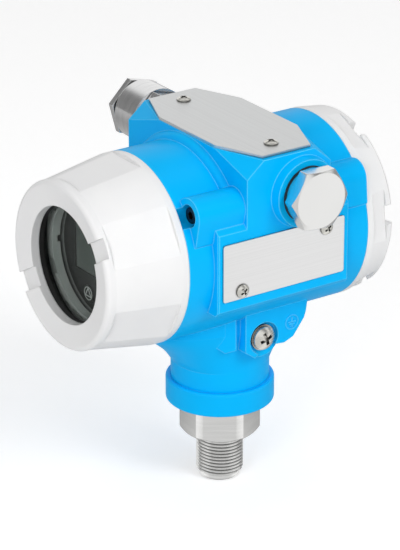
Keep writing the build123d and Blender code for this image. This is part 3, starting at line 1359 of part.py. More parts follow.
with BuildPart() as gland_bush:
    extrude(
        ring(gland_end_plane, GLAND_POCKET_R - LOOSE_GAP, CABLE_BORE_R),
        amount=-GLAND_POCKET_DEPTH,
    )
gland_bush.part.label = "gland_bush"
export_step(gland_bush.part, "parts/gland_bush.step")

with BuildPart() as gland_washer:
    extrude(
        ring(washer_plane, GLAND_THREAD_R - LOOSE_GAP, GLAND_WASHER_BORE_R),
        amount=GLAND_WASHER_THICKNESS,
    )
gland_washer.part.label = "gland_washer"
export_step(gland_washer.part, "parts/gland_washer.step")

with BuildPart() as gland_nut:
    extrude(disc(nut_plane, GLAND_NUT_R), amount=GLAND_NUT_LENGTH - GLAND_NUT_HEX)
    chamfer(edges().group_by(Axis.X)[0], length=GLAND_NUT_BEVEL)
    extrude(hexagon(nut_hex_plane, GLAND_NUT_FLATS, GLAND_NUT_TURN), amount=GLAND_NUT_HEX)
    thread_depth = (nut_wall_plane.origin - nut_plane.origin).length
    extrude(disc(nut_plane, GLAND_THREAD_R + THREAD_GAP), amount=thread_depth, mode=Mode.SUBTRACT)
    extrude(disc(nut_plane, GLAND_NUT_HOLE_R), amount=GLAND_NUT_LENGTH, mode=Mode.SUBTRACT)
gland_nut.part.label = "gland_nut"
export_step(gland_nut.part, "parts/gland_nut.step")

# External earth screw and washer

with BuildPart() as earth_washer:
    extrude(
        ring(right_plane(EARTH_SEAT_X, EARTH_Y, EARTH_Z), EARTH_WASHER_R, EARTH_SCREW_R),
        amount=EARTH_WASHER_THICKNESS,
    )
earth_washer.part.label = "earth_washer"
export_step(earth_washer.part, "parts/earth_washer.step")

with BuildPart() as earth_screw:
    pan_screw(
        right_plane(EARTH_SEAT_X + EARTH_WASHER_THICKNESS, EARTH_Y, EARTH_Z),
        EARTH_HEAD_R,
        EARTH_HEAD_HEIGHT,
        EARTH_SCREW_R - RUNNING_GAP,
        EARTH_WASHER_THICKNESS + EARTH_SCREW_LENGTH,
        turn=20,
    )
earth_screw.part.label = "earth_screw"
export_step(earth_screw.part, "parts/earth_screw.step")

# Cover lock screws, socket heads in their recesses

with BuildPart() as cover_lock_screws:
    for screw_plane, place in (
        (front_plane(lock_floor_front), lock_hole_front),
        (rear_plane(lock_floor_rear), lock_hole_rear),
    ):
        head_plane = screw_plane.offset(LOCK_SCREW_HEAD_HEIGHT)
        extrude(disc(screw_plane, LOCK_SCREW_R, at=place), amount=-LOCK_SCREW_LENGTH)
        extrude(disc(screw_plane, LOCK_SCREW_HEAD_R, at=place), amount=LOCK_SCREW_HEAD_HEIGHT)
        extrude(
            hexagon(head_plane, LOCK_SCREW_SOCKET_FLATS, at=place),
            amount=-LOCK_SCREW_HEAD_HEIGHT / 2,
            mode=Mode.SUBTRACT,
        )
cover_lock_screws.part.label = "cover_lock_screws"
export_step(cover_lock_screws.part, "parts/cover_lock_screws.step")
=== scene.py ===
"""Studio scene of a pressure transmitter.

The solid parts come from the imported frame. This file gives each of them its finish, models the
small forms that they leave plain, and sets the floor, the lights and the camera.
"""

import logging
import math
from dataclasses import dataclass
from enum import Enum
from typing import Sequence

import bmesh
import bpy
from mathutils import Matrix, Vector


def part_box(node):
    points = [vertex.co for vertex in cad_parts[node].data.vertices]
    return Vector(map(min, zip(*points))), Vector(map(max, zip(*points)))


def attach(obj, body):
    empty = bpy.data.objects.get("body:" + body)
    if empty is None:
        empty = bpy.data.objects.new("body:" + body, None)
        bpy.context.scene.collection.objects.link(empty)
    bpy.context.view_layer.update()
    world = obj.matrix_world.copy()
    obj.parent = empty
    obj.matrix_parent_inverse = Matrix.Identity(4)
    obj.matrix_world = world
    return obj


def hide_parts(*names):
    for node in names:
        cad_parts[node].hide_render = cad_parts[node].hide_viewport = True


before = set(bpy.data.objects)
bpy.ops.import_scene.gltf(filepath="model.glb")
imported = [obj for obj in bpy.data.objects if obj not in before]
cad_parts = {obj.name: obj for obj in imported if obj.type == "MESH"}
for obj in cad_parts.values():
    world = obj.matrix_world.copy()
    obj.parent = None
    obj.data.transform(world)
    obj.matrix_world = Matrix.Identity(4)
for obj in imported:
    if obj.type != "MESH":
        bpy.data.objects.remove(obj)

LOG = logging.getLogger("transmitter")
MM = 0.001

# Steps in a full turn of the turned corners, of the tube and the core, and of small marks.
FINE_STEPS = 144
STEPS = 96
SMALL_STEPS = 48

Socket = bpy.types.NodeSocket
Piece = bpy.types.Object
Colour = tuple[float, float, float]
Pair = tuple[float, float]


def grey(level: float) -> Colour:
    """A grey of one level."""
    return (level, level, level)


WHITE = grey(1.0)


class Body(Enum):
    """The moving bodies of the frame that new pieces ride on."""

    SENSOR = "sensor"
    HEAD = "head"
    KEY_LEFT = "key_left"
    KEY_RIGHT = "key_right"
    GLAND_NUT = "gland_nut"


class Grain(Enum):
    """The way a metal surface was brushed or turned, as fineness of its marks along each axis."""

    ALONG_X = (12.0, 2600.0, 2600.0)
    ALONG_Y = (2600.0, 12.0, 2600.0)
    ROUND_X = (1500.0, 40.0, 40.0)
    ROUND_Z = (40.0, 40.0, 1500.0)


@dataclass(frozen=True)
class Texture:
    """Fineness of a noise and the number of its finer layers."""

    scale: float
    detail: float


class NodeBench:
    """Builds a tree of shader nodes step by step."""

    def __init__(self, tree: bpy.types.NodeTree) -> None:
        """Take the tree that is worked on."""
        self.tree = tree

    def node(self, kind: str, **settings: object) -> bpy.types.Node:
        """Add a node.

        Args:
            kind: Type name of the node.
            **settings: Attributes to set on it.

        Returns:
            The new node.
        """
        made = self.tree.nodes.new(kind)
        for key, value in settings.items():
            setattr(made, key, value)
        return made

    def link(self, source: Socket, target: Socket) -> None:
        """Link two sockets."""
        self.tree.links.new(source, target)

    def ramp(self, value: Socket, low: Colour, high: Colour, band: Pair) -> Socket:
        """Colour that runs from low to high as a value crosses a band.

        Args:
            value: The value read.
            low: Colour at and below the band.
            high: Colour at and above the band.
            band: Values where the change starts and ends.

        Returns:
            The colour socket.
        """
        made = self.node("ShaderNodeValToRGB")
        for stop, place, colour in zip(made.color_ramp.elements, band, (low, high)):
            stop.position = place
            stop.color = (*colour, 1.0)
        self.link(value, made.inputs["Fac"])
        return made.outputs["Color"]

    def choose(self, share: Socket, first: Socket, second: Socket) -> Socket:
        """Mix two shaders.

        Args:
            share: 0 for the first, 1 for the second.
            first: One shader.
            second: The other shader.

        Returns:
            The shader socket.
        """
        made = self.node("ShaderNodeMixShader")
        self.link(share, made.inputs["Fac"])
        self.link(first, made.inputs[1])
        self.link(second, made.inputs[2])
        return made.outputs["Shader"]


class ShaderBench(NodeBench):
    """Builds one material."""

    BEVEL_SAMPLES = 6
    SHELTER_SAMPLES = 8
    CREASE_BAND = (0.995, 0.94)

    def __init__(self, name: str) -> None:
        """Start a principled material.

        Args:
            name: Name of the material.
        """
        self.material = bpy.data.materials.new(name)
        self.material.use_nodes = True
        super().__init__(self.material.node_tree)
        self.shader = self.tree.nodes["Principled BSDF"]
        self.output = self.tree.nodes["Material Output"]

    def feed(self, source: Socket, name: str) -> None:
        """Link a socket to an input of the material's shader."""
        self.link(source, self.shader.inputs[name])

    def fix(self, name: str, value: object) -> None:
        """Set one value on an input of the material's shader."""
        self.shader.inputs[name].default_value = value

    def place(self, scale: Sequence[float] = (1.0, 1.0, 1.0)) -> Socket:
        """Object coordinates, stretched.

        Args:
            scale: Factors along the three axes.

        Returns:
            The vector socket.
        """
        where = self.node("ShaderNodeTexCoord")
        mapping = self.node("ShaderNodeMapping")
        mapping.inputs["Scale"].default_value = scale
        self.link(where.outputs["Object"], mapping.inputs["Vector"])
        return mapping.outputs["Vector"]

    def noise(self, vector: Socket, texture: Texture) -> Socket:
        """Noise between 0 and 1.

        Args:
            vector: Where the noise is read.
            texture: Its fineness and layers.

        Returns:
            The value socket.
        """
        made = self.node("ShaderNodeTexNoise")
        made.inputs["Scale"].default_value = texture.scale
        made.inputs["Detail"].default_value = texture.detail
        self.link(vector, made.inputs["Vector"])
        return made.outputs["Fac"]

    def span(self, value: Socket, low: float, high: float) -> Socket:
        """Map a value from 0..1 to low..high.

        Args:
            value: The value read.
            low: Result at 0.
            high: Result at 1.

        Returns:
            The mapped value socket.
        """
        made = self.node("ShaderNodeMapRange")
        made.inputs["To Min"].default_value = low
        made.inputs["To Max"].default_value = high
        self.link(value, made.inputs["Value"])
        return made.outputs["Result"]

    def scuff(self, value: Socket, middle: float, spread: Pair) -> None:
        """Let the roughness run over the spread about its middle as a value goes from 0 to 1."""
        self.feed(self.span(value, middle + spread[0], middle + spread[1]), "Roughness")

    def edge(self, radius: float) -> Socket:
        """Normal that rounds sharp edges.

        Args:
            radius: Radius of the rounding in metres.

        Returns:
            The normal socket.
        """
        made = self.node("ShaderNodeBevel", samples=self.BEVEL_SAMPLES)
        made.inputs["Radius"].default_value = radius
        return made.outputs["Normal"]

    def shelter(self, distance: float) -> Socket:
        """How open a spot is, from 0 in a recess to 1 in the open.

        Args:
            distance: How far a neighbour shelters, in metres.

        Returns:
            The value socket.
        """
        made = self.node("ShaderNodeAmbientOcclusion", samples=self.SHELTER_SAMPLES)
        made.inputs["Distance"].default_value = distance
        return made.outputs["AO"]

    def edge_highlight_mask(self, rounded: Socket) -> Socket:
        """How near a spot lies to an edge, from 0 on a plain face to 1 on the edge, as the mask of the
        painted edge highlight.

        Args:
            rounded: Normal with the edges rounded.

        Returns:
            The value socket.
        """
        plain = self.node("ShaderNodeNewGeometry")
        likeness = self.node("ShaderNodeVectorMath", operation="DOT_PRODUCT")
        self.link(rounded, likeness.inputs[0])
        self.link(plain.outputs["Normal"], likeness.inputs[1])
        made = self.node("ShaderNodeMapRange")
        made.inputs["From Min"].default_value, made.inputs["From Max"].default_value = self.CREASE_BAND
        self.link(likeness.outputs["Value"], made.inputs["Value"])
        return made.outputs["Result"]

    def product(self, first: Socket, second: Socket, share: float = 1.0) -> Socket:
        """Multiply a colour by another.

        Args:
            first: The colour.
            second: The colour that it is multiplied by.
            share: How much of the change is made.

        Returns:
            The colour socket.
        """
        made = self.node("ShaderNodeMix", data_type="RGBA", blend_type="MULTIPLY")
        made.inputs["Factor"].default_value = share
        self.link(first, made.inputs["A"])
        self.link(second, made.inputs["B"])
        return made.outputs["Result"]

    def bump(self, height: Socket, distance: float, normal: Socket | None = None) -> None:
        """Give the shader a relief.

        Args:
            height: Height of the relief from 0 to 1.
            distance: Depth of the relief in metres.
            normal: Normal that the relief is laid on.
        """
        made = self.node("ShaderNodeBump")
        made.inputs["Strength"].default_value = 1.0
        made.inputs["Distance"].default_value = distance
        self.link(height, made.inputs["Height"])
        if normal is not None:
            self.link(normal, made.inputs["Normal"])
        self.feed(made.outputs["Normal"], "Normal")


@dataclass(frozen=True)
class Finish:
    """A finish that dresses frame nodes and new pieces.

    The colour goes from one shade to another where a pattern's value crosses the band that tone
    gives. A spread is what the roughness gains at the pattern's lowest and highest value.
    """

    name: str
    slot: str

    def shade(self, bench: ShaderBench) -> None:
        """Lay the finish on a bench."""
        raise NotImplementedError

    def material(self) -> bpy.types.Material:
        """Make the finish's material, once.

        Returns:
            The material.
        """
        made = bpy.data.materials.get(self.name)
        if made is None:
            bench = ShaderBench(self.name)
            self.shade(bench)
            made = bench.material
        return made


@dataclass(frozen=True)
class PowderCoat(Finish):
    """Baked powder paint on a casting: faint orange peel, soft rounded edges and a painted highlight that
    lightens the colour along the edges.
    """

    colour: Colour
    deep: Colour
    # The edge colour is a painted highlight.
    edge: Colour
    roughness: float = 0.36
    specular: float = 0.06
    gloss: float = 0.04
    gloss_roughness: float = 0.07
    edge_round: float = 0.0007
    cloud: Texture = Texture(60.0, 4.0)
    tone: Pair = (0.3, 0.62)
    peel: Texture = Texture(900.0, 2.0)
    spread: Pair = (-0.05, 0.07)
    relief: float = 0.000008

    def shade(self, bench: ShaderBench) -> None:
        """Lay the paint on a bench.

        Args:
            bench: The bench.
        """
        where = bench.place()
        cloud = bench.noise(where, self.cloud)
        peel = bench.noise(where, self.peel)
        rounded = bench.edge(self.edge_round)
        # Painted highlight: the colour turns to the edge colour near convex edges.
        lit = bench.node("ShaderNodeMix", data_type="RGBA")
        lit.inputs["B"].default_value = (*self.edge, 1.0)
        bench.link(bench.edge_highlight_mask(rounded), lit.inputs["Factor"])
        bench.link(bench.ramp(cloud, self.deep, self.colour, self.tone), lit.inputs["A"])
        bench.feed(lit.outputs["Result"], "Base Color")
        bench.scuff(peel, self.roughness, self.spread)
        bench.fix("Specular IOR Level", self.specular)
        bench.fix("Coat Weight", self.gloss)
        bench.fix("Coat Roughness", self.gloss_roughness)
        bench.bump(peel, self.relief, rounded)


@dataclass(frozen=True)
class Metal(Finish):
    """Bare or plated metal with the marks of its brushing or turning, and painted shade darkening its
    recesses.
    """

    colour: Colour
    dull: Colour
    roughness: float
    grain: Grain = Grain.ROUND_Z
    edge_round: float = 0.00025
    # Painted shade: within the recess distance of a neighbour, the colour is darkened towards a grey over
    # a band of openness.
    recess: float = 0.002
    painted_shade_colour: Colour = grey(0.12)
    fine: Texture = Texture(1.0, 5.0)
    tone: Pair = (0.3, 0.65)
    painted_recess_shade: Pair = (0.35, 0.85)
    spread: Pair = (-0.07, 0.1)
    relief: float = 0.000006

    def shade(self, bench: ShaderBench) -> None:
        """Lay the metal on a bench.

        Args:
            bench: The bench.
        """
        fine = bench.noise(bench.place(self.grain.value), self.fine)
        bare = bench.ramp(fine, self.dull, self.colour, self.tone)
        # Painted shade in recesses, thread roots and beside other parts, multiplied into the metal's
        # colour.
        painted_recess_shade = bench.ramp(bench.shelter(self.recess), self.painted_shade_colour, WHITE, self.painted_recess_shade)
        bench.feed(bench.product(bare, painted_recess_shade), "Base Color")
        bench.fix("Metallic", 1.0)
        bench.scuff(fine, self.roughness, self.spread)
        bench.bump(fine, self.relief, bench.edge(self.edge_round))


@dataclass(frozen=True)
class Moulded(Finish):
    """Moulded plastic, rubber or anodised metal with a fine even grain."""

    colour: Colour
    worn: Colour
    roughness: float = 0.5
    edge_round: float = 0.0002
    grain: Texture = Texture(2600.0, 2.0)
    cloud: Texture = Texture(90.0, 3.0)
    tone: Pair = (0.35, 0.7)
    spread: Pair = (-0.08, 0.08)
    relief: float = 0.00001

    def shade(self, bench: ShaderBench) -> None:
        """Lay the moulded surface on a bench.

        Args:
            bench: The bench.
        """
        where = bench.place()
        grain = bench.noise(where, self.grain)
        cloud = bench.noise(where, self.cloud)
        bench.feed(bench.ramp(cloud, self.colour, self.worn, self.tone), "Base Color")
        bench.scuff(grain, self.roughness, self.spread)
        bench.bump(grain, self.relief, bench.edge(self.edge_round))


@dataclass(frozen=True)
class CircuitBoard(Finish):
    """Solder mask over copper tracks."""

    colour: Colour = (0.01, 0.09, 0.04)
    track: Colour = (0.03, 0.2, 0.09)
    cell_scale: float = 260.0
    gap: float = 0.03
    tone: Pair = (0.2, 0.8)
    roughness: float = 0.3
    gloss: float = 0.5
    relief: float = 0.00003

    def shade(self, bench: ShaderBench) -> None:
        """Lay the board on a bench.

        Args:
            bench: The bench.
        """
        cells = bench.node("ShaderNodeTexBrick", offset=0.5)
        cells.inputs["Scale"].default_value = self.cell_scale
        cells.inputs["Mortar Size"].default_value = self.gap
        bench.link(bench.place(), cells.inputs["Vector"])
        tracks = cells.outputs["Fac"]
        bench.feed(bench.ramp(tracks, self.colour, self.track, self.tone), "Base Color")
        bench.fix("Roughness", self.roughness)
        bench.fix("Coat Weight", self.gloss)
        bench.bump(tracks, self.relief)


@dataclass(frozen=True)
class LiquidCrystal(Finish):
    """Unlit liquid crystal panel behind its polariser."""

    colour: Colour = (0.16, 0.17, 0.165)
    dark: Colour = (0.12, 0.13, 0.125)
    cell_scale: float = 2400.0
    cell_share: float = 0.12
    film: Texture = Texture(30.0, 2.0)
    film_stretch: tuple[float, float, float] = (1.0, 1.0, 2.5)
    tone: Pair = (0.3, 0.65)
    roughness: float = 0.18
    gloss: float = 0.6
    relief: float = 0.00002

    def shade(self, bench: ShaderBench) -> None:
        """Lay the panel on a bench.

        Args:
            bench: The bench.
        """
        cells = bench.node("ShaderNodeTexChecker")
        cells.inputs["Scale"].default_value = self.cell_scale
        bench.link(bench.place(), cells.inputs["Vector"])
        film = bench.noise(bench.place(self.film_stretch), self.film)
        shade = bench.ramp(film, self.dark, self.colour, self.tone)
        bench.feed(bench.product(shade, cells.outputs["Color"], self.cell_share), "Base Color")
        bench.fix("Roughness", self.roughness)
        bench.fix("Coat Weight", self.gloss)
        bench.bump(film, self.relief)


@dataclass(frozen=True)
class WindowGlass(Finish):
    """Clear thick glass: what lies behind shows straight through, with a faint reflection."""

    clean: Colour = (0.93, 0.95, 0.94)
    tint: Colour = (0.86, 0.9, 0.88)
    smear: Texture = Texture(70.0, 3.0)
    tone: Pair = (0.3, 0.7)
    mirror: float = 0.02
    roughness: float = 0.03

    def shade(self, bench: ShaderBench) -> None:
        """Lay the glass on a bench.

        Args:
            bench: The bench.
        """
        clear = bench.node("ShaderNodeBsdfTransparent")
        smear = bench.noise(bench.place(), self.smear)
        bench.link(bench.ramp(smear, self.tint, self.clean, self.tone), clear.inputs["Color"])
        gloss = bench.node("ShaderNodeBsdfGlossy")
        gloss.inputs["Roughness"].default_value = self.roughness
        mix = bench.node("ShaderNodeMixShader")
        mix.inputs["Fac"].default_value = self.mirror
        bench.link(clear.outputs["BSDF"], mix.inputs[1])
        bench.link(gloss.outputs["BSDF"], mix.inputs[2])
        bench.tree.nodes.remove(bench.shader)
        bench.link(mix.outputs["Shader"], bench.output.inputs["Surface"])


# Each paint's edge colour is a painted highlight laid along its convex edges.
SKY_PAINT = PowderCoat(
    "sky_powder_coat",
    "housing_paint",
    colour=(0.0, 0.46, 0.92),
    deep=(0.0, 0.445, 0.9),
    edge=(0.1, 0.62, 1.0),
)
WHITE_PAINT = PowderCoat(
    "white_powder_coat",
    "cover_paint",
    colour=grey(0.81),
    deep=(0.79, 0.79, 0.795),
    edge=grey(0.88),
    roughness=0.4,
    specular=0.3,
    gloss=0.08,
    edge_round=0.0008,
)
# Painted shade darkens the thread roots and corners of the stainless parts.
STAINLESS = Metal(
    "turned_stainless",
    "stainless",
    colour=(0.87, 0.87, 0.86),
    dull=(0.8, 0.8, 0.79),
    roughness=0.2,
    recess=0.0009,
    painted_shade_colour=grey(0.2),
)
# Painted shade makes the cross recesses of the screw heads near black.
SCREW_METAL = Metal(
    "bright_screw",
    "screw_steel",
    colour=(0.8, 0.79, 0.74),
    dull=(0.72, 0.71, 0.66),
    roughness=0.26,
    painted_shade_colour=grey(0.03),
)
# The cover lock screws are painted near black as painted shade, so that they sink into the shade of their
# holes.
SHADE_DARK_LOCK_SCREW_METAL = Metal(
    "shade_dark_lock_screw",
    "screw_steel",
    colour=(0.09, 0.09, 0.1),
    dull=(0.05, 0.05, 0.055),
    roughness=0.35,
)
# Painted shade darkens the gland's nut and body in their recesses.
NICKEL = Metal(
    "nickel_plate",
    "nickel_brass",
    colour=grey(0.82),
    dull=grey(0.74),
    roughness=0.16,
    grain=Grain.ROUND_X,
    edge_round=0.0004,
    recess=0.0012,
)
# A wide reach of painted shade darkens the plug towards the housing it sits against.
PLUG_NICKEL = Metal(
    "plug_nickel",
    "nickel_brass",
    colour=(0.84, 0.84, 0.83),
    dull=(0.8, 0.8, 0.79),
    roughness=0.2,
    grain=Grain.ROUND_X,
    edge_round=0.0004,
    recess=0.009,
)
TOP_PLATE_METAL = Metal(
    "brushed_plate",
    "plate_steel",
    colour=(0.74, 0.75, 0.75),
    dull=(0.67, 0.68, 0.68),
    roughness=0.36,
    grain=Grain.ALONG_X,
)
SIDE_PLATE_METAL = Metal(
    "brushed_side_plate",
    "plate_steel",
    colour=grey(0.88),
    dull=grey(0.83),
    roughness=0.36,
    grain=Grain.ALONG_Y,
)
RING = Moulded("anodised_ring", "aluminium_turned", colour=grey(0.5), worn=grey(0.56), roughness=0.36)
RUBBER = Moulded("black_rubber", "rubber_black", colour=grey(0.012), worn=grey(0.03), roughness=0.62)
BLACK_PLASTIC = Moulded("black_plastic", "plastic_black", colour=grey(0.028), worn=grey(0.038))
GREY_PLASTIC = Moulded("grey_plastic", "plastic_black", colour=grey(0.22), worn=grey(0.26))
KEY_PLASTIC = Moulded("key_plastic", "key_grey", colour=grey(0.03), worn=grey(0.05), roughness=0.4)
MARK_INK = Moulded("mark_ink", "key_grey", colour=grey(0.55), worn=grey(0.62), roughness=0.45)
TERMINAL_PLASTIC = Moulded(
    "terminal_plastic",
    "terminal_green",
    colour=(0.02, 0.035, 0.03),
    worn=(0.03, 0.05, 0.045),
)
BOARD = CircuitBoard("circuit_board", "board_green")
SCREEN = LiquidCrystal("liquid_crystal", "lcd_panel")
GLASS = WindowGlass("clear_window_glass", "window_glass")

NODE_FINISHES: dict[str, Finish] = {
    "process_connection": STAINLESS,
    "pressure_sensor": STAINLESS,
    "isolating_diaphragm": STAINLESS,
    "sensor_clamp_ring": STAINLESS,
    "sensor_seal": RUBBER,
    "sensor_board": BOARD,
    "neck_seal": RUBBER,
    "collar": SKY_PAINT,
    "housing": SKY_PAINT,
    "neck_set_screw": SCREW_METAL,
    "cover_lock_screws": SHADE_DARK_LOCK_SCREW_METAL,
    "front_cover": WHITE_PAINT,
    "front_cover_seal": RUBBER,
    "window_glass": GLASS,
    "window_gasket": RUBBER,
    "window_retaining_ring": RING,
    "rear_cover": WHITE_PAINT,
    "rear_cover_seal": RUBBER,
    "display_housing": GREY_PLASTIC,
    "display_fascia": BLACK_PLASTIC,
    "lcd_screen": SCREEN,
    "display_board": BOARD,
    "key_left": KEY_PLASTIC,
    "key_right": KEY_PLASTIC,
    "electronics_module": BLACK_PLASTIC,
    "module_screws": SCREW_METAL,
    "bulkhead_feedthrough": BLACK_PLASTIC,
    "terminal_block": TERMINAL_PLASTIC,
    "terminal_clamps": NICKEL,
    "terminal_screws": NICKEL,
    "terminal_block_screws": SCREW_METAL,
    "inner_earth_screw": SCREW_METAL,
    "top_plate": TOP_PLATE_METAL,
    "top_plate_screws": SCREW_METAL,
    "side_plate": SIDE_PLATE_METAL,
    "side_plate_screws": SCREW_METAL,
    "plug_seal": RUBBER,
    "conduit_plug": PLUG_NICKEL,
    "gland_seal": RUBBER,
    "gland_body": NICKEL,
    "gland_bush": RUBBER,
    "gland_washer": NICKEL,
    "gland_nut": NICKEL,
    "earth_washer": SCREW_METAL,
    "earth_screw": SCREW_METAL,
}


class Bench:
    """Modelling steps, done with Blender's own operators."""

    AXES = {"X": Vector((1, 0, 0)), "Y": Vector((0, 1, 0)), "Z": Vector((0, 0, 1))}
    ACROSS = {"X": Vector((0, 1, 0)), "Y": Vector((1, 0, 0)), "Z": Vector((1, 0, 0))}
    SEED = 0.001
    MERGE = 1e-6
    SHARP_ANGLE = 30.0

    @staticmethod
    def deselect() -> None:
        """Leave nothing selected and no edit mode open."""
        if bpy.context.object is not None and bpy.context.object.mode != "OBJECT":
            bpy.ops.object.mode_set(mode="OBJECT")
        bpy.ops.object.select_all(action="DESELECT")

    @classmethod
    def pick(cls, piece: Piece, *others: Piece) -> None:
        """Select pieces and nothing else.

        Args:
            piece: The piece that becomes the active one.
            *others: Pieces selected with it.
        """
        cls.deselect()
        for other in (*others, piece):
            other.select_set(True)
        bpy.context.view_layer.objects.active = piece

    @staticmethod
    def named(name: str) -> Piece:
        """Name the new active object and its mesh.

        Args:
            name: The name.

        Returns:
            The object.
        """
        made = bpy.context.object
        made.name = name
        made.data.name = name
        return made

    @classmethod
    def settled(cls, name: str) -> Piece:
        """Name the new active object and keep its place, turn and size in its mesh.

        Args:
            name: The name.

        Returns:
            The object.
        """
        made = cls.named(name)
        bpy.ops.object.transform_apply(location=True, rotation=True, scale=True)
        return made

    @classmethod
    def seed(cls, name: str, location: Sequence[float] = (0.0, 0.0, 0.0)) -> Piece:
        """Make a small square that another mesh grows from or takes the place of.

        Args:
            name: Name of the piece.
            location: Where it stands, in metres.

        Returns:
            The square.
        """
        cls.deselect()
        bpy.ops.mesh.primitive_plane_add(size=cls.SEED, location=location)
        return cls.named(name)

    @classmethod
    def lathe(
        cls,
        name: str,
        profile: Sequence[Pair],
        axis: str = "Z",
        centre: Vector = Vector(),
        steps: int = STEPS,
    ) -> Piece:
        """Turn a profile round an axis.

        Args:
            name: Name of the piece.
            profile: Points (radius, distance along the axis) in millimetres.
            axis: Letter of the axis.
            centre: A point on the axis, in metres.
            steps: Number of steps in the turn.

        Returns:
            The turned piece.
        """
        along = cls.AXES[axis]
        out = cls.ACROSS[axis]
        places = [centre + out * radius * MM + along * rise * MM for radius, rise in profile]
        made = cls.seed(name, places[0])
        bpy.ops.object.transform_apply(location=True, rotation=True, scale=True)
        bpy.ops.object.mode_set(mode="EDIT")
        bpy.ops.mesh.select_all(action="SELECT")
        bpy.ops.mesh.merge(type="CENTER")
        for start, end in zip(places, places[1:]):
            bpy.ops.mesh.extrude_region_move(TRANSFORM_OT_translate={"value": end - start})
        bpy.ops.mesh.select_all(action="SELECT")
        bpy.ops.mesh.spin(steps=steps, angle=math.tau, center=centre, axis=along)
        bpy.ops.mesh.select_all(action="SELECT")
        bpy.ops.mesh.remove_doubles(threshold=cls.MERGE)
        bpy.ops.mesh.normals_make_consistent(inside=False)
        bpy.ops.object.mode_set(mode="OBJECT")
        return made

    @classmethod
    def hexagon(cls, name: str, corner: float, height: float, turn: float) -> Piece:
        """Make an upright hexagonal prism that stands on the level of the origin.

        Args:
            name: Name of the piece.
            corner: Radius of the corners in millimetres.
            height: Its height in millimetres.
            turn: Turn about the upright axis in degrees.

        Returns:
            The prism.
        """
        cls.deselect()
        bpy.ops.mesh.primitive_cylinder_add(
            vertices=6,
            radius=corner * MM,
            depth=height * MM,
            location=(0.0, 0.0, height / 2 * MM),
            rotation=(0, 0, math.radians(turn)),
        )
        return cls.settled(name)

    @classmethod
    def combine(cls, base: Piece, tool: Piece, operation: str) -> None:
        """Join a tool shape to a base by a boolean and delete the tool.

        Args:
            base: The piece that stays.
            tool: The piece that is used up.
            operation: UNION, DIFFERENCE or INTERSECT.
        """
        cls.pick(base)
        made = base.modifiers.new("shape", "BOOLEAN")
        made.operation = operation
        made.object = tool
        made.solver = "EXACT"
        bpy.ops.object.modifier_apply(modifier=made.name)
        bpy.data.objects.remove(tool, do_unlink=True)

    @classmethod
    def soften(cls, piece: Piece, width: float) -> None:
        """Break the sharp edges of a piece.

        Args:
            piece: The piece.
            width: Width of the bevel in millimetres.
        """
        cls.pick(piece)
        made = piece.modifiers.new("soften", "BEVEL")
        made.width = width * MM
        made.segments = 2
        made.limit_method = "ANGLE"
        made.angle_limit = math.radians(cls.SHARP_ANGLE)
        bpy.ops.object.modifier_apply(modifier=made.name)

    @classmethod
    def smooth(cls, piece: Piece, angle: float = SHARP_ANGLE) -> None:
        """Shade a piece smooth up to an angle in degrees."""
        cls.pick(piece)
        bpy.ops.object.shade_smooth_by_angle(angle=math.radians(angle))

    @staticmethod
    def hand_over(piece: Piece, body: Body, finish: Finish, *nodes: str) -> None:
        """Dress a piece, let it ride on a body and let it stand for frame nodes.

        Args:
            piece: The piece.
            body: The body that it rides on.
            finish: Its finish.
            *nodes: Frame nodes that it stands for.
        """
        piece.data.materials.clear()
        piece.data.materials.append(finish.material())
        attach(piece, body.value)
        if nodes:
            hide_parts(*nodes)
        LOG.info("%s: %d faces on %s", piece.name, len(piece.data.polygons), body.value)


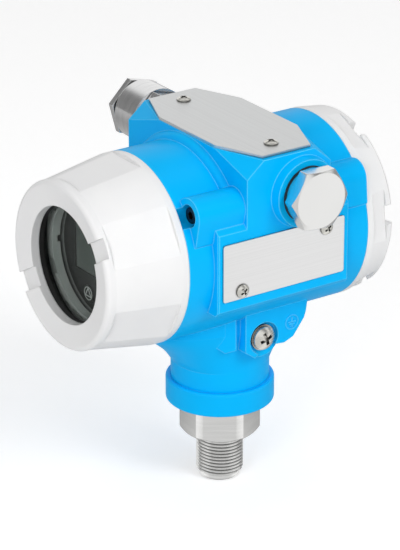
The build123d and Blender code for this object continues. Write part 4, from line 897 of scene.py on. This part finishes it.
@dataclass(frozen=True)
class StemFitting:
    """Hexagon, thread and tip of the process connection, in millimetres and degrees.

    A cut slopes in from the turned radius at an end of the hexagon. Its first value is how far in
    it reaches, at overrun past that end, and its second is how far before that end it starts.
    """

    flats: float = 31.0
    height: float = 15.2
    heading: float = -35.0
    turned_radius: float = 17.0
    foot_cut: Pair = (3.5, 1.7)
    head_cut: Pair = (2.93, 1.2)
    overrun: float = 1.0
    thread_radius: float = 10.0
    root_radius: float = 9.05
    root_sink: float = 0.15
    crest_flat: float = 0.24
    pitch: float = 1.5
    thread_length: float = 17.6
    thread_taper: float = 1.0
    thread_steps: int = 64
    core_top: float = 2.0
    tip_radius: float = 8.5
    tip_length: float = 2.2
    tip_chamfer: float = 0.5
    port_radius: float = 2.0
    port_chamfer: float = 0.4
    spigot_radius: float = 13.0
    spigot_wall: float = 3.4
    spigot_height: float = 5.0
    spigot_sink: float = 2.0
    sharp_angle: float = 15.0

    @property
    def thread_end(self) -> float:
        """Height where the thread has run out."""
        return -self.thread_length - self.thread_taper

    def turning(self) -> Piece:
        """Make the round shape that the corners of the hexagon are turned down to.

        Returns:
            The round shape.
        """
        rim = self.turned_radius
        low = -self.overrun
        high = self.height + self.overrun
        profile = [
            (0.0, low),
            (rim - self.foot_cut[0], low),
            (rim, self.foot_cut[1]),
            (rim, self.height - self.head_cut[1]),
            (rim - self.head_cut[0], high),
            (0.0, high),
        ]
        return Bench.lathe("turned", profile, steps=FINE_STEPS)

    def spigot(self) -> Piece:
        """Make the tube above the hexagon that the collar covers.

        Returns:
            The tube.
        """
        inner = self.spigot_radius - self.spigot_wall
        low = self.height - self.spigot_sink
        high = self.height + self.spigot_height
        profile = [
            (inner, low),
            (self.spigot_radius, low),
            (self.spigot_radius, high),
            (inner, high),
            (inner, low),
        ]
        return Bench.lathe("spigot", profile)

    def core(self) -> Piece:
        """Make the core of the thread and the tip, with the pressure port through them.

        Returns:
            The core.
        """
        foot = self.thread_end - self.tip_length
        profile = [
            (self.port_radius, self.core_top),
            (self.root_radius, self.core_top),
            (self.root_radius, self.thread_end),
            (self.tip_radius, self.thread_end),
            (self.tip_radius, foot + self.tip_chamfer),
            (self.tip_radius - self.tip_chamfer, foot),
            (self.port_radius + self.port_chamfer, foot),
            (self.port_radius, foot + self.port_chamfer),
            (self.port_radius, self.core_top),
        ]
        return Bench.lathe("core", profile)

    def body(self) -> Piece:
        """Make the hexagon with its turned corners, the core of the thread and the tip.

        Returns:
            The fitting.
        """
        corner = self.flats / 2 / math.cos(math.pi / 6)
        made = Bench.hexagon("process_fitting", corner, self.height, self.heading)
        Bench.combine(made, self.turning(), "INTERSECT")
        Bench.combine(made, self.spigot(), "UNION")
        Bench.combine(made, self.core(), "UNION")
        Bench.smooth(made, self.sharp_angle)
        return made

    def profile(self, ridge: Piece) -> None:
        """Give the ridge the one face that its thread is wound from.

        Args:
            ridge: The ridge, whose mesh is replaced.
        """
        root = self.root_radius - self.root_sink
        crest = self.thread_radius
        flat = self.crest_flat / 2
        half = self.pitch / 2
        corners = [(root, -half), (crest, -flat), (crest, flat), (root, half)]
        shape = bmesh.new()
        shape.faces.new([shape.verts.new((x * MM, 0.0, z * MM)) for x, z in corners])
        shape.to_mesh(ridge.data)
        shape.free()

    def taper(self, ridge: Piece) -> None:
        """Let the last turn run out into the core.

        Args:
            ridge: The wound ridge.
        """
        for vertex in ridge.data.vertices:
            past = max(0.0, -self.thread_length - vertex.co.z / MM)
            limit = (self.thread_radius - past) * MM
            reach = math.hypot(vertex.co.x, vertex.co.y)
            if reach > limit:
                vertex.co.x *= limit / reach
                vertex.co.y *= limit / reach
            vertex.co.z = max(vertex.co.z, self.thread_end * MM)

    def thread(self) -> Piece:
        """Wind the ridge of the thread and close its ends.

        Returns:
            The ridge.
        """
        ridge = Bench.seed("process_thread_ridge")
        self.profile(ridge)
        made = ridge.modifiers.new("thread", "SCREW")
        made.axis = "Z"
        made.steps = self.thread_steps
        made.render_steps = self.thread_steps
        made.screw_offset = -self.pitch * MM
        made.iterations = math.ceil(-self.thread_end / self.pitch)
        made.use_merge_vertices = False
        Bench.pick(ridge)
        bpy.ops.object.modifier_apply(modifier=made.name)
        self.taper(ridge)
        bpy.ops.object.mode_set(mode="EDIT")
        bpy.ops.mesh.select_all(action="SELECT")
        bpy.ops.mesh.fill_holes(sides=4)
        bpy.ops.mesh.select_all(action="SELECT")
        bpy.ops.mesh.normals_make_consistent(inside=False)
        bpy.ops.object.mode_set(mode="OBJECT")
        Bench.smooth(ridge)
        return ridge

    def build(self) -> None:
        """Make the fitting and hand it over."""
        Bench.hand_over(self.body(), Body.SENSOR, STAINLESS, "process_connection")
        Bench.hand_over(self.thread(), Body.SENSOR, STAINLESS)


@dataclass(frozen=True)
class GlandHexagon:
    """A hexagonal piece of the cable gland, screwed round to its seen angle."""

    node: str
    body: Body
    corner_heading: float = 45.0

    def build(self) -> None:
        """Copy the node, turn the copy about the gland's axis and hand it over."""
        low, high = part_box(self.node)
        centre = (low + high) / 2
        piece = Bench.seed(f"{self.node}_turned")
        piece.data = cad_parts[self.node].data.copy()
        corner = max(piece.data.vertices, key=lambda spot: (spot.co - centre).yz.length).co - centre
        turn = math.radians(self.corner_heading) - math.atan2(corner.z, corner.y)
        about = Matrix.Rotation(turn, 4, "X")
        piece.data.transform(Matrix.Translation(centre) @ about @ Matrix.Translation(-centre))
        piece.data.update()
        Bench.hand_over(piece, self.body, NICKEL, self.node)


@dataclass(frozen=True)
class Stroke:
    """One bar of the earth symbol: its size across and up, and its rise above the symbol's centre."""

    name: str
    width: float
    height: float
    rise: float


@dataclass(frozen=True)
class EarthMark:
    """Raised earth symbol on the pad beside the earth screw, in millimetres.

    The ring's sides are upright up to shoulder, a share of the relief, and slope in above it.
    """

    face_x: float = 26.5
    centre_y: float = 17.6
    centre_z: float = 54.0
    radius: float = 3.4
    line: float = 0.6
    relief: float = 0.35
    shoulder: float = 0.6
    sink: float = 0.2
    edge: float = 0.08

    @property
    def strokes(self) -> tuple[Stroke, ...]:
        """The bars of the symbol, from the top down."""
        return (
            Stroke("stem", self.line, 2.0, 1.1),
            Stroke("wide", 3.8, self.line, 0.1),
            Stroke("middle", 2.5, self.line, -0.9),
            Stroke("short", 1.2, self.line, -1.9),
        )

    def bar(self, stroke: Stroke) -> Piece:
        """Make one stroke.

        Args:
            stroke: Its sizes.

        Returns:
            The bar.
        """
        Bench.deselect()
        bpy.ops.mesh.primitive_cube_add(
            size=1.0,
            location=(self.face_x * MM, self.centre_y * MM, (self.centre_z + stroke.rise) * MM),
            scale=(2 * self.relief * MM, stroke.width * MM, stroke.height * MM),
        )
        made = Bench.settled(stroke.name)
        Bench.soften(made, self.edge)
        return made

    def build(self) -> None:
        """Make the ring and the strokes, join them and hand them over."""
        outer = self.radius
        inner = outer - self.line
        slope = self.line / 4
        profile = [
            (inner, -self.sink),
            (inner, self.relief * self.shoulder),
            (inner + slope, self.relief),
            (outer - slope, self.relief),
            (outer, self.relief * self.shoulder),
            (outer, -self.sink),
            (inner, -self.sink),
        ]
        centre = Vector((self.face_x, self.centre_y, self.centre_z)) * MM
        ring = Bench.lathe("earth_mark", profile, axis="X", centre=centre, steps=SMALL_STEPS)
        Bench.pick(ring, *[self.bar(stroke) for stroke in self.strokes])
        bpy.ops.object.join()
        Bench.smooth(ring)
        Bench.hand_over(ring, Body.HEAD, SKY_PAINT)


@dataclass(frozen=True)
class KeyMark:
    """Raised arrow in a ring on one display key, in millimetres.

    The arrow's line is the ring's line times arrow_share.
    """

    node: str
    body: Body
    points_up: bool
    radius: float = 2.9
    line: float = 0.34
    arrow_share: float = 1.2
    relief: float = 0.12
    sink: float = 0.2
    arrow_depth: float = 0.3

    def ring(self, centre: Vector) -> Piece:
        """Make the ring.

        Args:
            centre: Centre of the key's face.

        Returns:
            The ring.
        """
        inner = self.radius - self.line
        profile = [
            (inner, self.sink),
            (inner, -self.relief),
            (self.radius, -self.relief),
            (self.radius, self.sink),
            (inner, self.sink),
        ]
        return Bench.lathe(f"{self.node}_mark", profile, axis="Y", centre=centre, steps=SMALL_STEPS)

    def arrow(self, centre: Vector) -> Piece:
        """Make the open triangle of the arrow.

        Args:
            centre: Centre of the key's face.

        Returns:
            The triangle.
        """
        upright = math.pi / 2 if self.points_up else -math.pi / 2
        Bench.deselect()
        bpy.ops.mesh.primitive_circle_add(
            vertices=3,
            radius=(self.radius - self.line / 2) * MM,
            fill_type="NGON",
            location=centre + Vector((0, -self.relief * MM, 0)),
            rotation=(upright, 0, 0),
        )
        made = Bench.settled("arrow")
        bpy.ops.object.mode_set(mode="EDIT")
        bpy.ops.mesh.select_all(action="SELECT")
        bpy.ops.mesh.inset(thickness=self.line * self.arrow_share * MM, depth=0)
        bpy.ops.mesh.delete(type="FACE")
        bpy.ops.mesh.select_all(action="SELECT")
        bpy.ops.mesh.extrude_region_move(TRANSFORM_OT_translate={"value": (0, self.arrow_depth * MM, 0)})
        bpy.ops.mesh.select_all(action="SELECT")
        bpy.ops.mesh.normals_make_consistent(inside=False)
        bpy.ops.object.mode_set(mode="OBJECT")
        return made

    def build(self) -> None:
        """Make the ring and the arrow and hand them over."""
        low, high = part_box(self.node)
        centre = Vector(((low.x + high.x) / 2, low.y, (low.z + high.z) / 2))
        mark = self.ring(centre)
        Bench.pick(mark, self.arrow(centre))
        bpy.ops.object.join()
        Bench.hand_over(mark, self.body, MARK_INK)


def dress_nodes() -> None:
    """Give every frame node its finish."""
    for name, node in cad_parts.items():
        finish = NODE_FINISHES[name]
        material = finish.material()
        if not node.material_slots:
            node.data.materials.append(material)
        for held in node.material_slots:
            held.material = material
        LOG.info("%s: %s", name, finish.name)


@dataclass(frozen=True)
class Lamp:
    """One soft square lamp that shines on the middle of the object.

    The heading goes from +X towards +Y and the rise from the horizon up, both in degrees. The
    distance and the side are in metres and the power in watts.
    """

    name: str
    heading: float
    rise: float
    distance: float
    side: float
    power: float
    target: Vector = Vector((0, 0, 0.07))

    def hang(self) -> None:
        """Hang the lamp, unseen in metal, which shows the white tent instead."""
        light = bpy.data.lights.new(self.name, "AREA")
        light.shape = "SQUARE"
        light.size = self.side
        light.energy = self.power
        made = bpy.data.objects.new(self.name, light)
        turn = math.radians(self.heading)
        lift = math.radians(self.rise)
        way = Vector((math.cos(turn) * math.cos(lift), math.sin(turn) * math.cos(lift), math.sin(lift)))
        made.location = self.target + way * self.distance
        made.rotation_mode = "QUATERNION"
        made.rotation_quaternion = way.to_track_quat("Z", "Y")
        made.visible_glossy = False
        bpy.context.scene.collection.objects.link(made)


@dataclass(frozen=True)
class Camera:
    """The photograph's camera, worked out from the outlines of the object in it.

    The line of sight at this azimuth and elevation, in degrees, meets the frame at axis_px,
    counted from the frame's upper left corner.
    """

    eye: Vector = Vector((0.99129, -0.69238, 0.58272))
    azimuth: float = 55.06
    elevation: float = 19.57
    focal_px: float = 3168.0
    axis_px: Pair = (220.5, 86.19)
    frame_px: tuple[int, int] = (400, 550)
    sensor_mm: float = 36.0
    near: float = 0.05
    far: float = 20.0

    def aim(self) -> Vector:
        """The direction in which the middle of the frame looks.

        Returns:
            The direction, of length 1.
        """
        turn = math.radians(self.azimuth)
        rise = math.radians(self.elevation)
        back = Vector((math.sin(turn) * math.cos(rise), -math.cos(turn) * math.cos(rise), math.sin(rise)))
        right = Vector((math.cos(turn), math.sin(turn), 0.0))
        up = back.cross(right)
        width, height = self.frame_px
        aside = (width / 2 - self.axis_px[0]) / self.focal_px
        below = (height / 2 - self.axis_px[1]) / self.focal_px
        return (-back + right * aside - up * below).normalized()

    def place(self) -> None:
        """Set the camera."""
        aim = self.aim()
        side = aim.cross(Vector((0, 0, 1))).normalized()
        top = side.cross(aim)
        lens = bpy.data.cameras.new("camera")
        lens.sensor_width = self.sensor_mm
        lens.lens = self.sensor_mm * self.focal_px / self.frame_px[1]
        lens.clip_start = self.near
        lens.clip_end = self.far
        made = bpy.data.objects.new("camera", lens)
        made.matrix_world = Matrix.Translation(self.eye) @ Matrix((side, top, -aim)).transposed().to_4x4()
        bpy.context.scene.collection.objects.link(made)
        bpy.context.scene.camera = made


@dataclass(frozen=True)
class Floor:
    """White paper floor, which metal shows as a white tent with soft darker gaps.

    A stop of the tent is how far round from the camera's side it stands, as a share of half a
    turn, and the level of grey there.
    """

    level: float = -0.0208
    size: float = 8.0
    paper: Colour = grey(0.88)
    shade: Colour = grey(0.86)
    grain: Texture = Texture(300.0, 2.0)
    tone: Pair = (0.4, 0.6)
    roughness: float = 0.9
    glow: float = 0.34
    tent_stops: tuple[Pair, ...] = (
        (0.0, 0.72),
        (0.2, 0.74),
        (0.32, 1.0),
        (0.44, 1.0),
        (0.66, 0.34),
        (1.0, 0.6),
    )

    def tent(self, bench: ShaderBench, azimuth: float) -> Socket:
        """Colour of the tent round the object.

        Args:
            bench: Bench of the floor's material.
            azimuth: Azimuth of the camera in degrees.

        Returns:
            The colour socket.
        """
        turned = bench.node("ShaderNodeMapping", vector_type="POINT")
        turned.inputs["Rotation"].default_value = (0, 0, math.radians(90.0 - azimuth))
        bench.link(bench.place(), turned.inputs["Vector"])
        parts = bench.node("ShaderNodeSeparateXYZ")
        bench.link(turned.outputs["Vector"], parts.inputs["Vector"])
        angle = bench.node("ShaderNodeMath", operation="ARCTAN2")
        bench.link(parts.outputs["Y"], angle.inputs[0])
        bench.link(parts.outputs["X"], angle.inputs[1])
        aside = bench.node("ShaderNodeMath", operation="ABSOLUTE")
        bench.link(angle.outputs["Value"], aside.inputs[0])
        share = bench.node("ShaderNodeMath", operation="DIVIDE")
        bench.link(aside.outputs["Value"], share.inputs[0])
        share.inputs[1].default_value = math.pi
        made = bench.node("ShaderNodeValToRGB")
        stops = made.color_ramp.elements
        stops[0].position = 0.0
        stops[1].position = 1.0
        for place, _ in self.tent_stops[1:-1]:
            stops.new(place)
        for stop, (_, level) in zip(stops, self.tent_stops):
            stop.color = (*grey(level), 1.0)
        bench.link(share.outputs["Value"], made.inputs["Fac"])
        return made.outputs["Color"]

    def lay(self, azimuth: float) -> None:
        """Lay the floor.

        Args:
            azimuth: Azimuth of the camera in degrees.
        """
        Bench.deselect()
        bpy.ops.mesh.primitive_plane_add(size=self.size, location=(0, 0, self.level))
        made = Bench.settled("floor")
        bench = ShaderBench("floor_paper")
        grain = bench.noise(bench.place(), self.grain)
        bench.feed(bench.ramp(grain, self.shade, self.paper, self.tone), "Base Color")
        bench.fix("Roughness", self.roughness)
        path = bench.node("ShaderNodeLightPath")
        bench.fix("Emission Color", (*WHITE, 1.0))
        bench.feed(bench.span(path.outputs["Is Camera Ray"], 0.0, self.glow), "Emission Strength")
        tent = bench.node("ShaderNodeEmission")
        bench.link(self.tent(bench, azimuth), tent.inputs["Color"])
        seen = bench.choose(
            path.outputs["Is Glossy Ray"], bench.shader.outputs["BSDF"], tent.outputs["Emission"]
        )
        bench.link(seen, bench.output.inputs["Surface"])
        made.data.materials.append(bench.material)


@dataclass(frozen=True)
class Sky:
    """Soft surround, white to the camera and banded in the metal."""

    light: float = 0.5
    band_light: float = 0.95
    band_dark: Colour = grey(0.2)
    band_edges: Pair = (0.25, 0.6)
    band_scale: float = 0.55
    band_turn: float = 20.0

    def bands(self, bench: NodeBench) -> Socket:
        """Upright soft bands of light and dark.

        Args:
            bench: Bench of the world.

        Returns:
            The colour socket.
        """
        where = bench.node("ShaderNodeTexCoord")
        turn = bench.node("ShaderNodeMapping")
        turn.inputs["Rotation"].default_value = (0, 0, math.radians(self.band_turn))
        bench.link(where.outputs["Generated"], turn.inputs["Vector"])
        wave = bench.node("ShaderNodeTexWave")
        wave.inputs["Scale"].default_value = self.band_scale
        wave.inputs["Distortion"].default_value = 0.0
        bench.link(turn.outputs["Vector"], wave.inputs["Vector"])
        return bench.ramp(wave.outputs["Fac"], self.band_dark, WHITE, self.band_edges)

    def spread(self) -> None:
        """Set the world."""
        world = bpy.data.worlds.new("surround")
        bpy.context.scene.world = world
        world.use_nodes = True
        bench = NodeBench(world.node_tree)
        plain = bench.tree.nodes["Background"]
        banded = bench.node("ShaderNodeBackground")
        white = bench.node("ShaderNodeBackground")
        for made, strength in ((plain, self.light), (banded, self.band_light), (white, 1.0)):
            made.inputs["Color"].default_value = (*WHITE, 1.0)
            made.inputs["Strength"].default_value = strength
        bench.link(self.bands(bench), banded.inputs["Color"])
        path = bench.node("ShaderNodeLightPath")
        lit = bench.choose(
            path.outputs["Is Glossy Ray"], plain.outputs["Background"], banded.outputs["Background"]
        )
        seen = bench.choose(path.outputs["Is Camera Ray"], lit, white.outputs["Background"])
        bench.link(seen, bench.tree.nodes["World Output"].inputs["Surface"])


@dataclass(frozen=True)
class Studio:
    """Camera, floor, sky and lamps."""

    camera: Camera = Camera()
    floor: Floor = Floor()
    sky: Sky = Sky()
    lamps: tuple[Lamp, ...] = (
        Lamp("key_lamp", heading=12.0, rise=38.0, distance=1.2, side=0.5, power=5.4),
        Lamp("front_lamp", heading=-58.0, rise=22.0, distance=1.4, side=0.6, power=6.4),
        Lamp("top_lamp", heading=120.0, rise=75.0, distance=1.2, side=0.7, power=1.0),
    )

    def build(self) -> None:
        """Set the whole studio."""
        self.camera.place()
        self.floor.lay(self.camera.azimuth)
        self.sky.spread()
        for lamp in self.lamps:
            lamp.hang()
        bpy.context.scene.view_settings.view_transform = "Standard"


def main() -> None:
    """Build the scene in order."""
    logging.basicConfig(level=logging.INFO, format="%(message)s")
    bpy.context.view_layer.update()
    Studio().build()
    dress_nodes()
    StemFitting().build()
    GlandHexagon("gland_body", Body.HEAD).build()
    GlandHexagon("gland_nut", Body.GLAND_NUT).build()
    EarthMark().build()
    KeyMark("key_left", Body.KEY_LEFT, points_up=True).build()
    KeyMark("key_right", Body.KEY_RIGHT, points_up=False).build()


if __name__ == "__main__":
    main()
